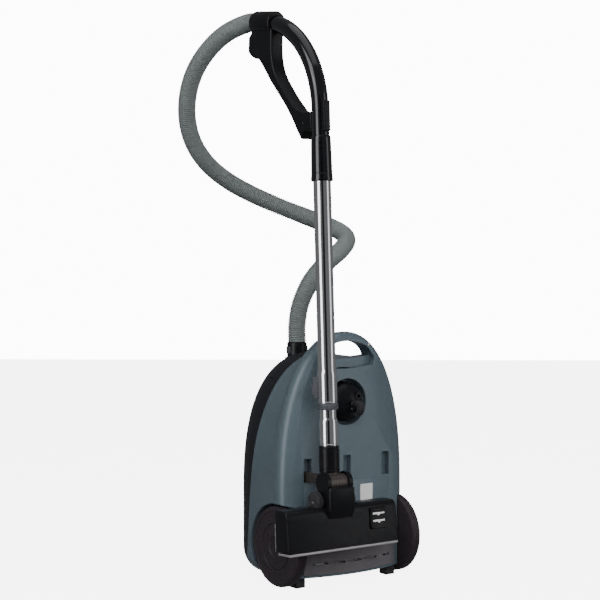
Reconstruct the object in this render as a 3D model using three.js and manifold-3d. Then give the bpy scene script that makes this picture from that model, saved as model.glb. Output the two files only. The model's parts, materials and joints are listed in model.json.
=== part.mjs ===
// Canister vacuum cleaner standing on its rear end in its parking position.
// Millimetres, +Z up. The belly faces -Y, the lid faces +Y, the floor is z = 0.
import * as THREE from 'three';
import { mergeVertices } from 'three/addons/utils/BufferGeometryUtils.js';
import Module from 'manifold-3d';

const wasm = await Module();
wasm.setup();

// ---------------------------------------------------------------- driving sizes
const FIT = 0.35;                 // gap left between touching pieces
const WALL = 3;                   // moulded wall of the casings

const BODY_HALF_WIDTH = 150;      // casing
const BODY_DEPTH = 208;
const BODY_BOTTOM = 15;
const BODY_TOP = 447;
const CARRY_TOP = 492;            // top of the carrying handle
const CARRY_DEPTH = 32;           // depth of the carrying handle, from the belly
const WIDEST_Z = 170;             // above this height the outline closes in
const CORNER_RADIUS = 36;         // lower corners of the outline
const SEAM_AT_FLOOR = 138;        // seam between the two casings, where it meets z = 0
const SEAM_SLOPE = -0.11;         // how far the seam falls back for each mm of height
const BULKHEAD_Z = 174;           // wall between the bag chamber and the motor room
const TAIL_BULGE = 24;            // how far the tail bows out of the belly
const TAIL_HALF_WIDTH = 126;
const TAIL_TOP = 112;

const WHEEL_RADIUS = 78.6;
const WHEEL_THICKNESS = 22;
const WHEEL_Y = 31;
const WHEEL_CLEAR_FLOOR = 2;
const WHEEL_HOLE_RADIUS = 6;
const WELL_CLEARANCE = 5;

const CASTER_Z = 355;
const CASTER_RECESS_RADIUS = 46;
const CASTER_RECESS_DEPTH = 26;
const CASTER_DOME_RADIUS = 39;
const CASTER_ROLLER_RADIUS = 15;
const CASTER_ROLLER_WIDTH = 15;
const CASTER_TRAIL = 10;

const INLET_Y = 170;
const INLET_RADIUS = 25;
const INLET_BORE = 18;
const HOSE_RADIUS = 19;
const HOSE_BORE = 16;

const LID_BOTTOM = 168;
const LID_TOP = 398;
const LID_HINGE_Y = BODY_DEPTH - 11;
const LID_HINGE_RADIUS = 2.5;
const LID_GAP = 0.7;

const BUTTON_RADIUS = 21;
const BUTTON_TRAVEL = 5;
const BUTTON_X = 58;
const BUTTON_Z = 116;
const DIAL_RADIUS = 15;

const SLOT_X = 95;                // parking slots in the belly
const SLOT_WIDTH = 18;
const SLOT_BOTTOM = 204;
const SLOT_HEIGHT = 46;
const SLOT_DEPTH = 13;

const WAND_X = -95;               // where the parked tool hangs
const WAND_Y = -72;
const HOOK_Z = 215;
const WAND_LEAN = THREE.MathUtils.degToRad(2.6);
const OUTER_TUBE_RADIUS = 17;
const TUBE_WALL = 0.8;
const TUBE_CLEARANCE = 0.3;
const INNER_TUBE_RADIUS = OUTER_TUBE_RADIUS - TUBE_WALL - TUBE_CLEARANCE;
const OUTER_TUBE_TOP = 604;
const SLEEVE_RADIUS = OUTER_TUBE_RADIUS + 1.8;
const SLEEVE_BOTTOM = 150;
const SLEEVE_TOP = 206;
const INNER_TUBE_TOP = 575;
const COUPLING_TOP = 122;
const CUFF_TOP = 69;
const CUFF_BOTTOM = 19;
const CUFF_RADIUS = OUTER_TUBE_RADIUS + 2.5;

const HANDLE_TUBE_RADIUS = OUTER_TUBE_RADIUS - 0.5;
const HANDLE_BEND_START = 703;
const HANDLE_BEND_RADIUS = 190;
const HANDLE_BEND_ANGLE = THREE.MathUtils.degToRad(82);
const HANDLE_CUFF_BOTTOM = 569;
const HANDLE_CUFF_TOP = 655;
const HANDLE_CUFF_RADIUS = OUTER_TUBE_RADIUS + 4;

const MIDDLE_Z = 215;
const CAVITY_TOP_DROP = 22;
const BEYOND = 60;
const SCREW_X = 55;
const SCREW_Z = 465;
const SCREW_RADIUS = 3.2;
const AXLE_RADIUS = WHEEL_HOLE_RADIUS - 0.6;
const AXLE_GRIP = 12;             // how far a wheel axle reaches inside its wall
const FOOT_Z = 26;
const FOOT_FRONT = [110, 13];
const FOOT_BACK = [100, 118];
const FOOT_WIDTH = 22;
const MOTOR_X = 50;
const MOTOR_Y = 100;
const FILTER_WINDOW = [44, 28];
const CASTER_STEM_RADIUS = 6;
const GRILLE_HALF_WIDTH = 110;
const GRILLE_BOTTOM = 26;
const GRILLE_HEIGHT = 66;
const GRILLE_THICKNESS = 3;
const HINGE_HALF = 34;
const HINGE_RELIEF = 15.6;        // radius cleared round the hinge for the lid's lower edge
const HINGE_RELIEF_HALF = 102;
const CUT_PAST = 30;              // how far a cutter runs past the face it opens
const OUTLET_X = -62;
const OUTLET_Z = 50;
const OUTLET_RADIUS = 9;
const OUTLET_BORE = 4;
const OUTLET_FLANGE = [3, 5];     // step and thickness
const LATCH_Z = 378;
const LATCH_TRAVEL = 4;
const INLET_TOP = 431;
const BUTTON_BOTTOM_Y = BODY_DEPTH - 20;
const BUTTON_TOP_Y = BODY_DEPTH + 2;
const PIN_HALF = 42;
const LATCH_WINDOW = [18, 9];      // half width and half height of the opening in the lid
const LATCH_HALF = [LATCH_WINDOW[0] - 0.6, LATCH_WINDOW[1] - 0.6 - LATCH_TRAVEL / 2];
const LATCH_BACK = BODY_DEPTH - 24;
const LATCH_THICKNESS = 15;
const OUTLET_BACK = BODY_DEPTH - 43;
const OUTLET_LENGTH = 32;
const KEY_GAP = 0.6;              // gap round a button, dial or key
const FAR = 300;                  // beyond every casing
const BAG_CENTRE = [0, 112, 298];
const BAG_HALF = [96, 62, 92];
const REEL_X = -56;
const REEL_Y = 104;
const REEL_Z = 98;
const REEL_RADIUS = 60;
const REEL_HALF = 24;
const MOTOR_RADIUS = 46;
const MOTOR_BOTTOM = 40;
const MOTOR_TOP = 158;
const SLOT_COUNT = 5;
const SLOT_PITCH = 39;
const CASTER_TIP_Y = -20;
const CASTER_AXLE_Y = -(WHEEL_RADIUS - WHEEL_Y) + CASTER_ROLLER_RADIUS;
const CASTER_AXLE_RADIUS = 2.5;
const HOSE_CUFF_BOTTOM = 404;
const HOSE_CUFF_SEAT = INLET_TOP + FIT;
const HOSE_CUFF_TOP = 462;
const HOSE_CUFF_RADIUS = 20.5;
const HOSE_CUFF_BORE = 15;
const HOSE_STEPS = 34;
const WAND_SIDES = 24;
const COLLAR_RADIUS = OUTER_TUBE_RADIUS + 3;
const COLLAR_BOTTOM = 137.5;
const SLIDER_TURN = THREE.MathUtils.degToRad(145);
const SLIDER_TRAVEL = 6;
const COUPLING_RADIUS = OUTER_TUBE_RADIUS + 1.2;
const HANDLE_TUBE_BOTTOM = OUTER_TUBE_TOP + 1;
const HANDLE_TUBE_BORE = HANDLE_TUBE_RADIUS - 3;
const HANDLE_RUN_OUT = 16;
const SOCKET_BACK = -28;
const SOCKET_FRONT = 41;
const BLEED_Z = 691;
const BLEED_HALF = 29;
const GRIP_SCREW = [38, 682];
const KNUCKLE_Y = -15;
const KNUCKLE_RADIUS = 16;
const KNUCKLE_HALF = OUTER_TUBE_RADIUS + 3;
const HUMP_HALF = KNUCKLE_HALF + 9;
const HOOK_HALF = 4.5;
const HEAD_HALF = 128;
const HEAD_OFFSET = 6;
const SOLE = 27;
const FACE = -19;
const HEAD_TOP = -43;
const HEAD_BOTTOM = -121;
const HEAD_WALL = 2.5;
const PEDAL_X = 88;
const PEDAL_Z = -74;
const PEDAL_HALF = 19;
const PEDAL_PIN_Y = -15;
const PEDAL_TILT = THREE.MathUtils.degToRad(6);
const HEAD_WHEEL_RADIUS = 19;
const HEAD_WHEEL_Y = 11;
const HEAD_WHEEL_Z = -34;

// ---------------------------------------------------------------- solids
function toSolid(geometry) {
  const plain = geometry.index ? geometry.toNonIndexed() : geometry.clone();
  plain.deleteAttribute('normal');
  plain.deleteAttribute('uv');
  const merged = mergeVertices(plain, 1e-4);
  const mesh = new wasm.Mesh({
    numProp: 3,
    vertProperties: new Float32Array(merged.attributes.position.array),
    triVerts: new Uint32Array(merged.index.array),
  });
  return new wasm.Manifold(mesh);
}

function toGeometry(solid) {
  const mesh = solid.getMesh();
  const geometry = new THREE.BufferGeometry();
  geometry.setAttribute('position', new THREE.BufferAttribute(new Float32Array(mesh.vertProperties), 3));
  geometry.setIndex(new THREE.BufferAttribute(new Uint32Array(mesh.triVerts), 1));
  geometry.computeVertexNormals();
  return geometry;
}

const join = (first, ...rest) => rest.reduce((solid, other) => solid.add(other), first);
const cut = (first, ...rest) => rest.reduce((solid, other) => solid.subtract(other), first);

function box(x0, x1, y0, y1, z0, z1) {
  const geometry = new THREE.BoxGeometry(x1 - x0, y1 - y0, z1 - z0);
  geometry.translate((x0 + x1) / 2, (y0 + y1) / 2, (z0 + z1) / 2);
  return toSolid(geometry);
}

// A round bar or cone along one axis, from `from` to `to`, through (u, v) on the other two axes.
function bar(axis, u, v, from, to, radius, endRadius = radius, sides = 24) {
  const geometry = new THREE.CylinderGeometry(endRadius, radius, to - from, sides);
  geometry.translate(0, (from + to) / 2, 0);
  if (axis === 'x') {
    geometry.rotateZ(-Math.PI / 2);
    geometry.translate(0, u, v);
  } else if (axis === 'y') {
    geometry.translate(u, 0, v);
  } else {
    geometry.rotateX(Math.PI / 2);
    geometry.translate(u, v, 0);
  }
  return toSolid(geometry);
}

function ring(axis, u, v, from, to, radius, bore, sides = 24) {
  const reach = 1;
  return cut(bar(axis, u, v, from, to, radius, radius, sides),
    bar(axis, u, v, from - reach, to + reach, bore, bore, sides));
}

// A turned shape: profile points are (radius, height), turned about Z.
function turned(profile, sides = 24) {
  const points = profile.map(([radius, height]) => new THREE.Vector2(radius, height));
  const geometry = new THREE.LatheGeometry(points, sides);
  geometry.rotateX(Math.PI / 2);
  return toSolid(geometry);
}

// A flat shape drawn in (x, z) and pushed from y0 to y1.
function pushedAlongY(shape, y0, y1, bevel = 0) {
  const geometry = new THREE.ExtrudeGeometry(shape, {
    depth: y1 - y0 - 2 * bevel,
    steps: 1,
    curveSegments: 10,
    bevelEnabled: bevel > 0,
    bevelThickness: bevel,
    bevelSize: bevel,
    bevelOffset: -bevel,
    bevelSegments: 2,
  });
  geometry.rotateX(Math.PI / 2);
  geometry.translate(0, y1 - bevel, 0);
  return toSolid(geometry);
}

// A flat shape drawn in (y, z) and pushed from x0 to x1.
function pushedAlongX(shape, x0, x1, bevel = 0) {
  const geometry = new THREE.ExtrudeGeometry(shape, {
    depth: x1 - x0 - 2 * bevel,
    steps: 1,
    curveSegments: 8,
    bevelEnabled: bevel > 0,
    bevelThickness: bevel,
    bevelSize: bevel,
    bevelOffset: -bevel,
    bevelSegments: 2,
  });
  geometry.applyMatrix4(new THREE.Matrix4().makeBasis(
    new THREE.Vector3(0, 1, 0), new THREE.Vector3(0, 0, 1), new THREE.Vector3(1, 0, 0)));
  geometry.translate(x0 + bevel, 0, 0);
  return toSolid(geometry);
}

// A flat shape drawn in (x, y) and pushed from z0 to z1.
function pushedAlongZ(shape, z0, z1) {
  const geometry = new THREE.ExtrudeGeometry(shape, { depth: z1 - z0, bevelEnabled: false, curveSegments: 12 });
  geometry.translate(0, 0, z0);
  return toSolid(geometry);
}

// A closed skin through rings of points that all have the same count.
function lofted(rings) {
  const count = rings[0].length;
  const positions = [];
  const triangle = (a, b, c) => positions.push(...a.toArray(), ...b.toArray(), ...c.toArray());
  for (let k = 0; k + 1 < rings.length; k++) {
    for (let i = 0; i < count; i++) {
      const j = (i + 1) % count;
      triangle(rings[k][i], rings[k + 1][j], rings[k][j]);
      triangle(rings[k][i], rings[k + 1][i], rings[k + 1][j]);
    }
  }
  const closeEnd = (points, first) => {
    const centre = points.reduce((sum, p) => sum.add(p), new THREE.Vector3()).divideScalar(count);
    for (let i = 0; i < count; i++) {
      const j = (i + 1) % count;
      if (first) triangle(centre, points[i], points[j]);
      else triangle(centre, points[j], points[i]);
    }
  };
  closeEnd(rings[0], true);
  closeEnd(rings[rings.length - 1], false);
  const geometry = new THREE.BufferGeometry();
  geometry.setAttribute('position', new THREE.Float32BufferAttribute(positions, 3));
  return toSolid(geometry);
}

// ---------------------------------------------------------------- pieces
const machine = new THREE.Group();

const tool = new THREE.Group();
tool.position.set(WAND_X, WAND_Y, HOOK_Z);
tool.rotation.x = -WAND_LEAN;
machine.add(tool);

const FINISH = {
  slate: [0x5d6b74, 0.42, 0],
  cover: [0x34393d, 0.45, 0],
  black: [0x17171a, 0.5, 0],
  gloss: [0x121215, 0.22, 0],
  wheel: [0x2b292b, 0.55, 0],
  panel: [0x6d6b6e, 0.5, 0],
  chrome: [0xd6d9dc, 0.08, 1],
  steel: [0xa9adb0, 0.3, 1],
  silver: [0x8f8d90, 0.35, 0.6],
  grey: [0x6a6f73, 0.5, 0],
  hose: [0x747a78, 0.6, 0],
  rubber: [0x202022, 0.8, 0],
  paper: [0xd9cfb8, 0.95, 0],
  foam: [0xb9bcb8, 0.95, 0],
  white: [0xe9e9e7, 0.6, 0],
  board: [0x2f5a3c, 0.6, 0],
  bristle: [0x303030, 0.95, 0],
};

function piece(name, solid, finish, parent = machine) {
  const [color, roughness, metalness] = FINISH[finish];
  const mesh = new THREE.Mesh(toGeometry(solid), new THREE.MeshStandardMaterial({ color, roughness, metalness }));
  mesh.name = name;
  parent.add(mesh);
  return mesh;
}

// ---------------------------------------------------------------- casing outline

// Half of the outline seen from the belly, from the bottom middle round to the top middle.
function outlineHalf(top) {
  const points = [[0, BODY_BOTTOM]];
  const cornerSteps = 4;
  const sideSteps = 10;
  for (let i = 0; i <= cornerSteps; i++) {
    const angle = (i / cornerSteps) * Math.PI / 2;
    points.push([
      BODY_HALF_WIDTH - CORNER_RADIUS * (1 - Math.sin(angle)),
      BODY_BOTTOM + CORNER_RADIUS * (1 - Math.cos(angle)),
    ]);
  }
  for (let i = 0; i <= sideSteps; i++) {
    const angle = (i / sideSteps) * Math.PI / 2;
    points.push([
      BODY_HALF_WIDTH * Math.cos(angle) ** 0.91,
      WIDEST_Z + (top - WIDEST_Z) * Math.sin(angle) ** 0.8,
    ]);
  }
  return points;
}

// The whole outline at one depth, drawn in by `narrow` at the sides and `lower` at both ends.
function outlineRing(y, top, narrow, lower) {
  const half = outlineHalf(top);
  const across = 1 - narrow / BODY_HALF_WIDTH;
  const along = 1 - lower / (BODY_TOP - MIDDLE_Z);
  const at = (x, z) => new THREE.Vector3(x * across, y, MIDDLE_Z + (z - MIDDLE_Z) * along);
  const right = half.map(([x, z]) => at(x, z));
  const left = half.slice(1, -1).reverse().map(([x, z]) => at(-x, z));
  return [...right, ...left];
}

// Depth, top, side draw and end draw of the casing, from the belly to the lid.
function casingSections() {
  const sections = [
    [0, CARRY_TOP, 26, 7],
    [5, CARRY_TOP, 15, 3],
    [14, CARRY_TOP, 6, 0],
    [CARRY_DEPTH - 6, CARRY_TOP, 1, 1],
    [CARRY_DEPTH, CARRY_TOP - 5, 0, 3],
    [CARRY_DEPTH + 12, BODY_TOP, 0, 0],
  ];
  const crownStart = 112;
  const crownSteps = 5;
  const crownSide = 92;
  const crownEnd = 84;
  for (let i = 0; i <= crownSteps; i++) {
    const angle = (i / crownSteps) * Math.PI / 2;
    const draw = 1 - Math.cos(angle);
    sections.push([
      crownStart + (BODY_DEPTH - crownStart) * Math.sin(angle), BODY_TOP, crownSide * draw, crownEnd * draw,
    ]);
  }
  return sections;
}

function casingOuter() {
  return lofted(casingSections().map(([y, top, narrow, lower]) => outlineRing(y, top, narrow, lower)));
}

function casingInner() {
  const rings = casingSections().map(([y, , narrow, lower]) => {
    const depth = WALL + y * (BODY_DEPTH - 2 * WALL) / BODY_DEPTH;
    const drop = y < CARRY_DEPTH + 20 ? CAVITY_TOP_DROP : 0;
    return outlineRing(depth, BODY_TOP - drop, narrow + WALL, lower + WALL);
  });
  return lofted(rings);
}

// Plan of the bowed tail, `offset` outside the moulded face.
function tailPlan(offset, halfWidth) {
  const radius = (TAIL_HALF_WIDTH ** 2 + TAIL_BULGE ** 2) / (2 * TAIL_BULGE);
  const centreY = radius - TAIL_BULGE;
  const reach = radius + offset;
  const sweep = Math.asin(halfWidth / reach);
  const shape = new THREE.Shape();
  shape.absarc(0, centreY, reach, -Math.PI / 2 - sweep, -Math.PI / 2 + sweep, false);
  return { shape, radius, centreY, sweep };
}

function tailBlock(offset, halfWidth, z0, z1, backY) {
  const { shape } = tailPlan(offset, halfWidth);
  shape.lineTo(halfWidth, backY);
  shape.lineTo(-halfWidth, backY);
  return pushedAlongZ(shape, z0, z1);
}

// Everything on the lid side of the seam, moved out by `shift`.
function beyondSeam(shift) {
  const size = 900;
  const geometry = new THREE.BoxGeometry(size, size, 2 * size);
  geometry.translate(0, size / 2 + shift, 0);
  geometry.rotateX(-Math.atan(SEAM_SLOPE));
  geometry.translate(0, SEAM_AT_FLOOR, 0);
  return toSolid(geometry);
}

// ---------------------------------------------------------------- lower casing
const wellRadius = WHEEL_RADIUS + WELL_CLEARANCE;
const wheelZ = WHEEL_RADIUS + WHEEL_CLEAR_FLOOR;
const wellDepth = WHEEL_THICKNESS + 2;

function wheelWell(side, radius, depth) {
  const inner = side * (BODY_HALF_WIDTH - depth);
  const outer = side * (BODY_HALF_WIDTH + BEYOND);
  return bar('x', WHEEL_Y, wheelZ, Math.min(inner, outer), Math.max(inner, outer), radius, radius, 40);
}

function fingerHole(y0, y1) {
  const shape = new THREE.Shape();
  const base = BODY_TOP - 4;
  const crown = CARRY_TOP - 18;
  shape.moveTo(-64, base);
  shape.quadraticCurveTo(0, base - 8, 64, base);
  shape.quadraticCurveTo(50, crown, 0, crown);
  shape.quadraticCurveTo(-50, crown, -64, base);
  return pushedAlongY(shape, y0, y1);
}

function fingerScoop() {
  const shape = new THREE.Shape();
  const base = BODY_TOP - 28;
  shape.moveTo(-62, base + 6);
  shape.quadraticCurveTo(0, base - 4, 62, base + 6);
  shape.quadraticCurveTo(72, BODY_TOP - 8, 62, BODY_TOP);
  shape.lineTo(-62, BODY_TOP);
  shape.quadraticCurveTo(-72, BODY_TOP - 8, -62, base + 6);
  return pushedAlongY(shape, -2, 15);
}

function bulkhead() {
  const sheet = box(-BODY_HALF_WIDTH, BODY_HALF_WIDTH, 0, BODY_DEPTH, BULKHEAD_Z - WALL, BULKHEAD_Z);
  const window = box(MOTOR_X - FILTER_WINDOW[0], MOTOR_X + FILTER_WINDOW[0],
    MOTOR_Y - FILTER_WINDOW[1], MOTOR_Y + FILTER_WINDOW[1], BULKHEAD_Z - 9, BULKHEAD_Z + 9);
  return cut(sheet, window);
}

function lowerHousing(outer, inner) {
  const tailOuter = tailBlock(0, TAIL_HALF_WIDTH, BODY_BOTTOM + 5, TAIL_TOP, 40);
  const tailInner = tailBlock(-WALL, TAIL_HALF_WIDTH - WALL, BODY_BOTTOM + 5 + WALL, TAIL_TOP - WALL, 41);
  const ledge = box(-104, 104, -2, 2, TAIL_TOP - 1, 200);
  const solid = join(outer, tailOuter, ledge);

  const keep = [bulkhead()];
  const take = [];
  for (const side of [-1, 1]) {
    keep.push(wheelWell(side, wellRadius + WALL, wellDepth + WALL));
    take.push(wheelWell(side, wellRadius, wellDepth));
    const bossIn = side * (BODY_HALF_WIDTH - wellDepth - WALL - AXLE_GRIP);
    const bossOut = side * (BODY_HALF_WIDTH - wellDepth + AXLE_GRIP);
    take.push(bar('x', WHEEL_Y, wheelZ, Math.min(bossIn, bossOut), Math.max(bossIn, bossOut), AXLE_RADIUS + FIT));
  }
  keep.push(bar('y', 0, CASTER_Z, -1, CASTER_RECESS_DEPTH + WALL, CASTER_RECESS_RADIUS + WALL, undefined, 32));
  take.push(bar('y', 0, CASTER_Z, -9, CASTER_RECESS_DEPTH, CASTER_RECESS_RADIUS, undefined, 32));
  take.push(bar('y', 0, CASTER_Z, -9, CASTER_RECESS_DEPTH + 9, CASTER_STEM_RADIUS + FIT, undefined, 16));
  for (const x of [-SLOT_X, 0, SLOT_X]) {
    const half = SLOT_WIDTH / 2;
    const top = SLOT_BOTTOM + SLOT_HEIGHT;
    keep.push(box(x - half - WALL, x + half + WALL, 0, SLOT_DEPTH + WALL, SLOT_BOTTOM - WALL, top + WALL));
    take.push(box(x - half, x + half, -9, SLOT_DEPTH, SLOT_BOTTOM, top));
  }
  take.push(fingerHole(-9, 90), fingerScoop());
  for (const x of [-SCREW_X, SCREW_X]) {
    take.push(bar('y', x, SCREW_Z, -9, 12, SCREW_RADIUS + FIT, undefined, 12));
  }
  take.push(box(-86, 86, -40, 3, GRILLE_BOTTOM + 8, GRILLE_BOTTOM + GRILLE_HEIGHT - 10));
  for (const [x, y] of [FOOT_FRONT, FOOT_BACK]) {
    for (const side of [-1, 1]) {
      const half = FOOT_WIDTH / 2 + FIT;
      const at = side * x;
      keep.push(box(at - half - WALL, at + half + WALL, y - half - WALL, y + half + WALL, 0, FOOT_Z + WALL));
      take.push(box(at - half, at + half, y - half, y + half, -9, FOOT_Z));
    }
  }

  const hollow = cut(join(inner, tailInner), ...keep);
  let shell = cut(solid, hollow);
  shell = cut(shell, ...take, beyondSeam(-FIT / 2));
  return shell;
}

// ---------------------------------------------------------------- upper casing and lid
function coverShell(outer, inner) {
  return cut(outer, inner).intersect(beyondSeam(FIT / 2));
}

function tailCover(shell, bodyBehind) {
  const holeFrom = BODY_DEPTH - CUT_PAST - 8;
  const holeTo = BODY_DEPTH + CUT_PAST;
  let cover = shell.intersect(box(-FAR, FAR, 0, FAR, 0, LID_BOTTOM - LID_GAP));
  for (const x of [-BUTTON_X, BUTTON_X]) {
    cover = cut(cover, bar('y', x, BUTTON_Z, holeFrom, holeTo, BUTTON_RADIUS + KEY_GAP, undefined, 28));
  }
  cover = cut(cover, bar('y', 0, BUTTON_Z, holeFrom, holeTo, DIAL_RADIUS + KEY_GAP));
  cover = cut(cover, bar('y', OUTLET_X, OUTLET_Z, OUTLET_BACK - CUT_PAST, holeTo, OUTLET_RADIUS + FIT),
    bar('y', OUTLET_X, OUTLET_Z, OUTLET_BACK - CUT_PAST, OUTLET_BACK + OUTLET_FLANGE[1] + FIT,
      OUTLET_RADIUS + OUTLET_FLANGE[0] + FIT));
  const lug = box(-HINGE_HALF - 8, HINGE_HALF + 8, LID_HINGE_Y - 6, LID_HINGE_Y + 9, LID_BOTTOM - 24, LID_BOTTOM + 5);
  const reach = box(-HINGE_RELIEF_HALF - 2, HINGE_RELIEF_HALF + 2, LID_HINGE_Y - 16, BODY_DEPTH + 4,
    LID_BOTTOM - 26, LID_BOTTOM + 14);
  const throat = bar('x', LID_HINGE_Y, LID_BOTTOM, -HINGE_RELIEF_HALF, HINGE_RELIEF_HALF, HINGE_RELIEF,
    undefined, 32);
  cover = cut(cover, throat.intersect(reach));
  const ears = cut(lug.intersect(bodyBehind), box(-HINGE_HALF, HINGE_HALF, LID_HINGE_Y - 47, BODY_DEPTH + CUT_PAST, 100, 230));
  cover = join(cover, ears);
  return cut(cover, bar('x', LID_HINGE_Y, LID_BOTTOM, -60, 60, LID_HINGE_RADIUS + FIT / 2, undefined, 16));
}

function dustLid(shell, bodyBehind) {
  let lid = shell.intersect(box(-FAR, FAR, 0, FAR, LID_BOTTOM, LID_TOP));
  const knuckle = bar('x', LID_HINGE_Y, LID_BOTTOM, -HINGE_HALF + 0.5, HINGE_HALF - 0.5, 6.5, undefined, 20);
  const arm = box(-HINGE_HALF + 0.5, HINGE_HALF - 0.5, LID_HINGE_Y - 6, LID_HINGE_Y + 9, LID_BOTTOM, LID_BOTTOM + 16);
  const ends = box(HINGE_HALF, HINGE_HALF + 60, LID_HINGE_Y - 16, BODY_DEPTH + CUT_PAST, LID_BOTTOM - 1, LID_BOTTOM + 14);
  lid = join(lid, join(knuckle, arm.intersect(bodyBehind)));
  lid = cut(lid, bar('x', LID_HINGE_Y, LID_BOTTOM, -60, 60, LID_HINGE_RADIUS + FIT, undefined, 16));
  lid = cut(lid, bar('x', LID_HINGE_Y, LID_BOTTOM, HINGE_HALF - 0.4, HINGE_HALF + 10, 15).intersect(ends));
  lid = cut(lid, bar('x', LID_HINGE_Y, LID_BOTTOM, -HINGE_HALF - 10, -HINGE_HALF + 0.4, 15));
  const [latchX, latchZ] = LATCH_WINDOW;
  return cut(lid, box(-latchX, latchX, LATCH_BACK - CUT_PAST, BODY_DEPTH + CUT_PAST, LATCH_Z - latchZ,
    LATCH_Z + latchZ));
}

function noseCover(shell) {
  const nose = shell.intersect(box(-FAR, FAR, 0, FAR, LID_TOP + LID_GAP, 2 * FAR));
  const socket = bar('z', 0, INLET_Y, LID_TOP + LID_GAP, INLET_TOP, INLET_RADIUS, undefined, 32);
  const seat = bar('z', 0, INLET_Y, INLET_TOP, INLET_TOP + 60, INLET_RADIUS, undefined, 32);
  return cut(join(nose, socket), seat, bar('z', 0, INLET_Y, 300, 600, INLET_BORE, undefined, 32));
}

function buildCasing() {
  const outer = casingOuter();
  const inner = casingInner();
  const bodyBehind = cut(outer, box(-300, 300, -50, SEAM_AT_FLOOR - 40, -50, 700));
  piece('lower_housing', lowerHousing(outer, inner), 'slate');
  const shell = coverShell(outer, inner);
  piece('tail_cover', tailCover(shell, bodyBehind), 'cover');
  piece('dust_lid', dustLid(shell, bodyBehind), 'cover');
  piece('nose_cover', noseCover(shell), 'cover');
}

// ---------------------------------------------------------------- cover fittings

function buildCoverFittings() {
  const pin = bar('x', LID_HINGE_Y, LID_BOTTOM, -PIN_HALF, PIN_HALF, LID_HINGE_RADIUS, undefined, 16);
  piece('lid_hinge_pin', pin, 'steel');
  const names = ['power_button', 'rewind_button'];
  names.forEach((name, index) => {
    const side = index === 0 ? -1 : 1;
    const cap = bar('y', side * BUTTON_X, BUTTON_Z, BUTTON_BOTTOM_Y, BUTTON_TOP_Y, BUTTON_RADIUS, BUTTON_RADIUS, 28);
    piece(name, cap, 'black');
  });
  const dial = bar('y', 0, BUTTON_Z, BUTTON_BOTTOM_Y, BUTTON_TOP_Y - 3, DIAL_RADIUS, DIAL_RADIUS, 24);
  const rib = box(-2, 2, BUTTON_TOP_Y - 4, BUTTON_TOP_Y, BUTTON_Z - 12, BUTTON_Z + 12);
  piece('suction_dial', join(dial, rib), 'grey');
  const [halfX, halfZ] = LATCH_HALF;
  const latch = box(-halfX, halfX, LATCH_BACK, LATCH_BACK + LATCH_THICKNESS, LATCH_Z + LATCH_TRAVEL / 2 - halfZ, LATCH_Z + LATCH_TRAVEL / 2 + halfZ);
  piece('lid_latch', latch, 'black');
  const outlet = cut(
    join(bar('y', OUTLET_X, OUTLET_Z, OUTLET_BACK, OUTLET_BACK + OUTLET_LENGTH, OUTLET_RADIUS),
      bar('y', OUTLET_X, OUTLET_Z, OUTLET_BACK, OUTLET_BACK + OUTLET_FLANGE[1],
        OUTLET_RADIUS + OUTLET_FLANGE[0])),
    bar('y', OUTLET_X, OUTLET_Z, OUTLET_BACK - 5, OUTLET_BACK + OUTLET_LENGTH + 3, OUTLET_BORE, OUTLET_BORE, 16));
  piece('cord_outlet', outlet, 'rubber');
}

// ---------------------------------------------------------------- inside

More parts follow.
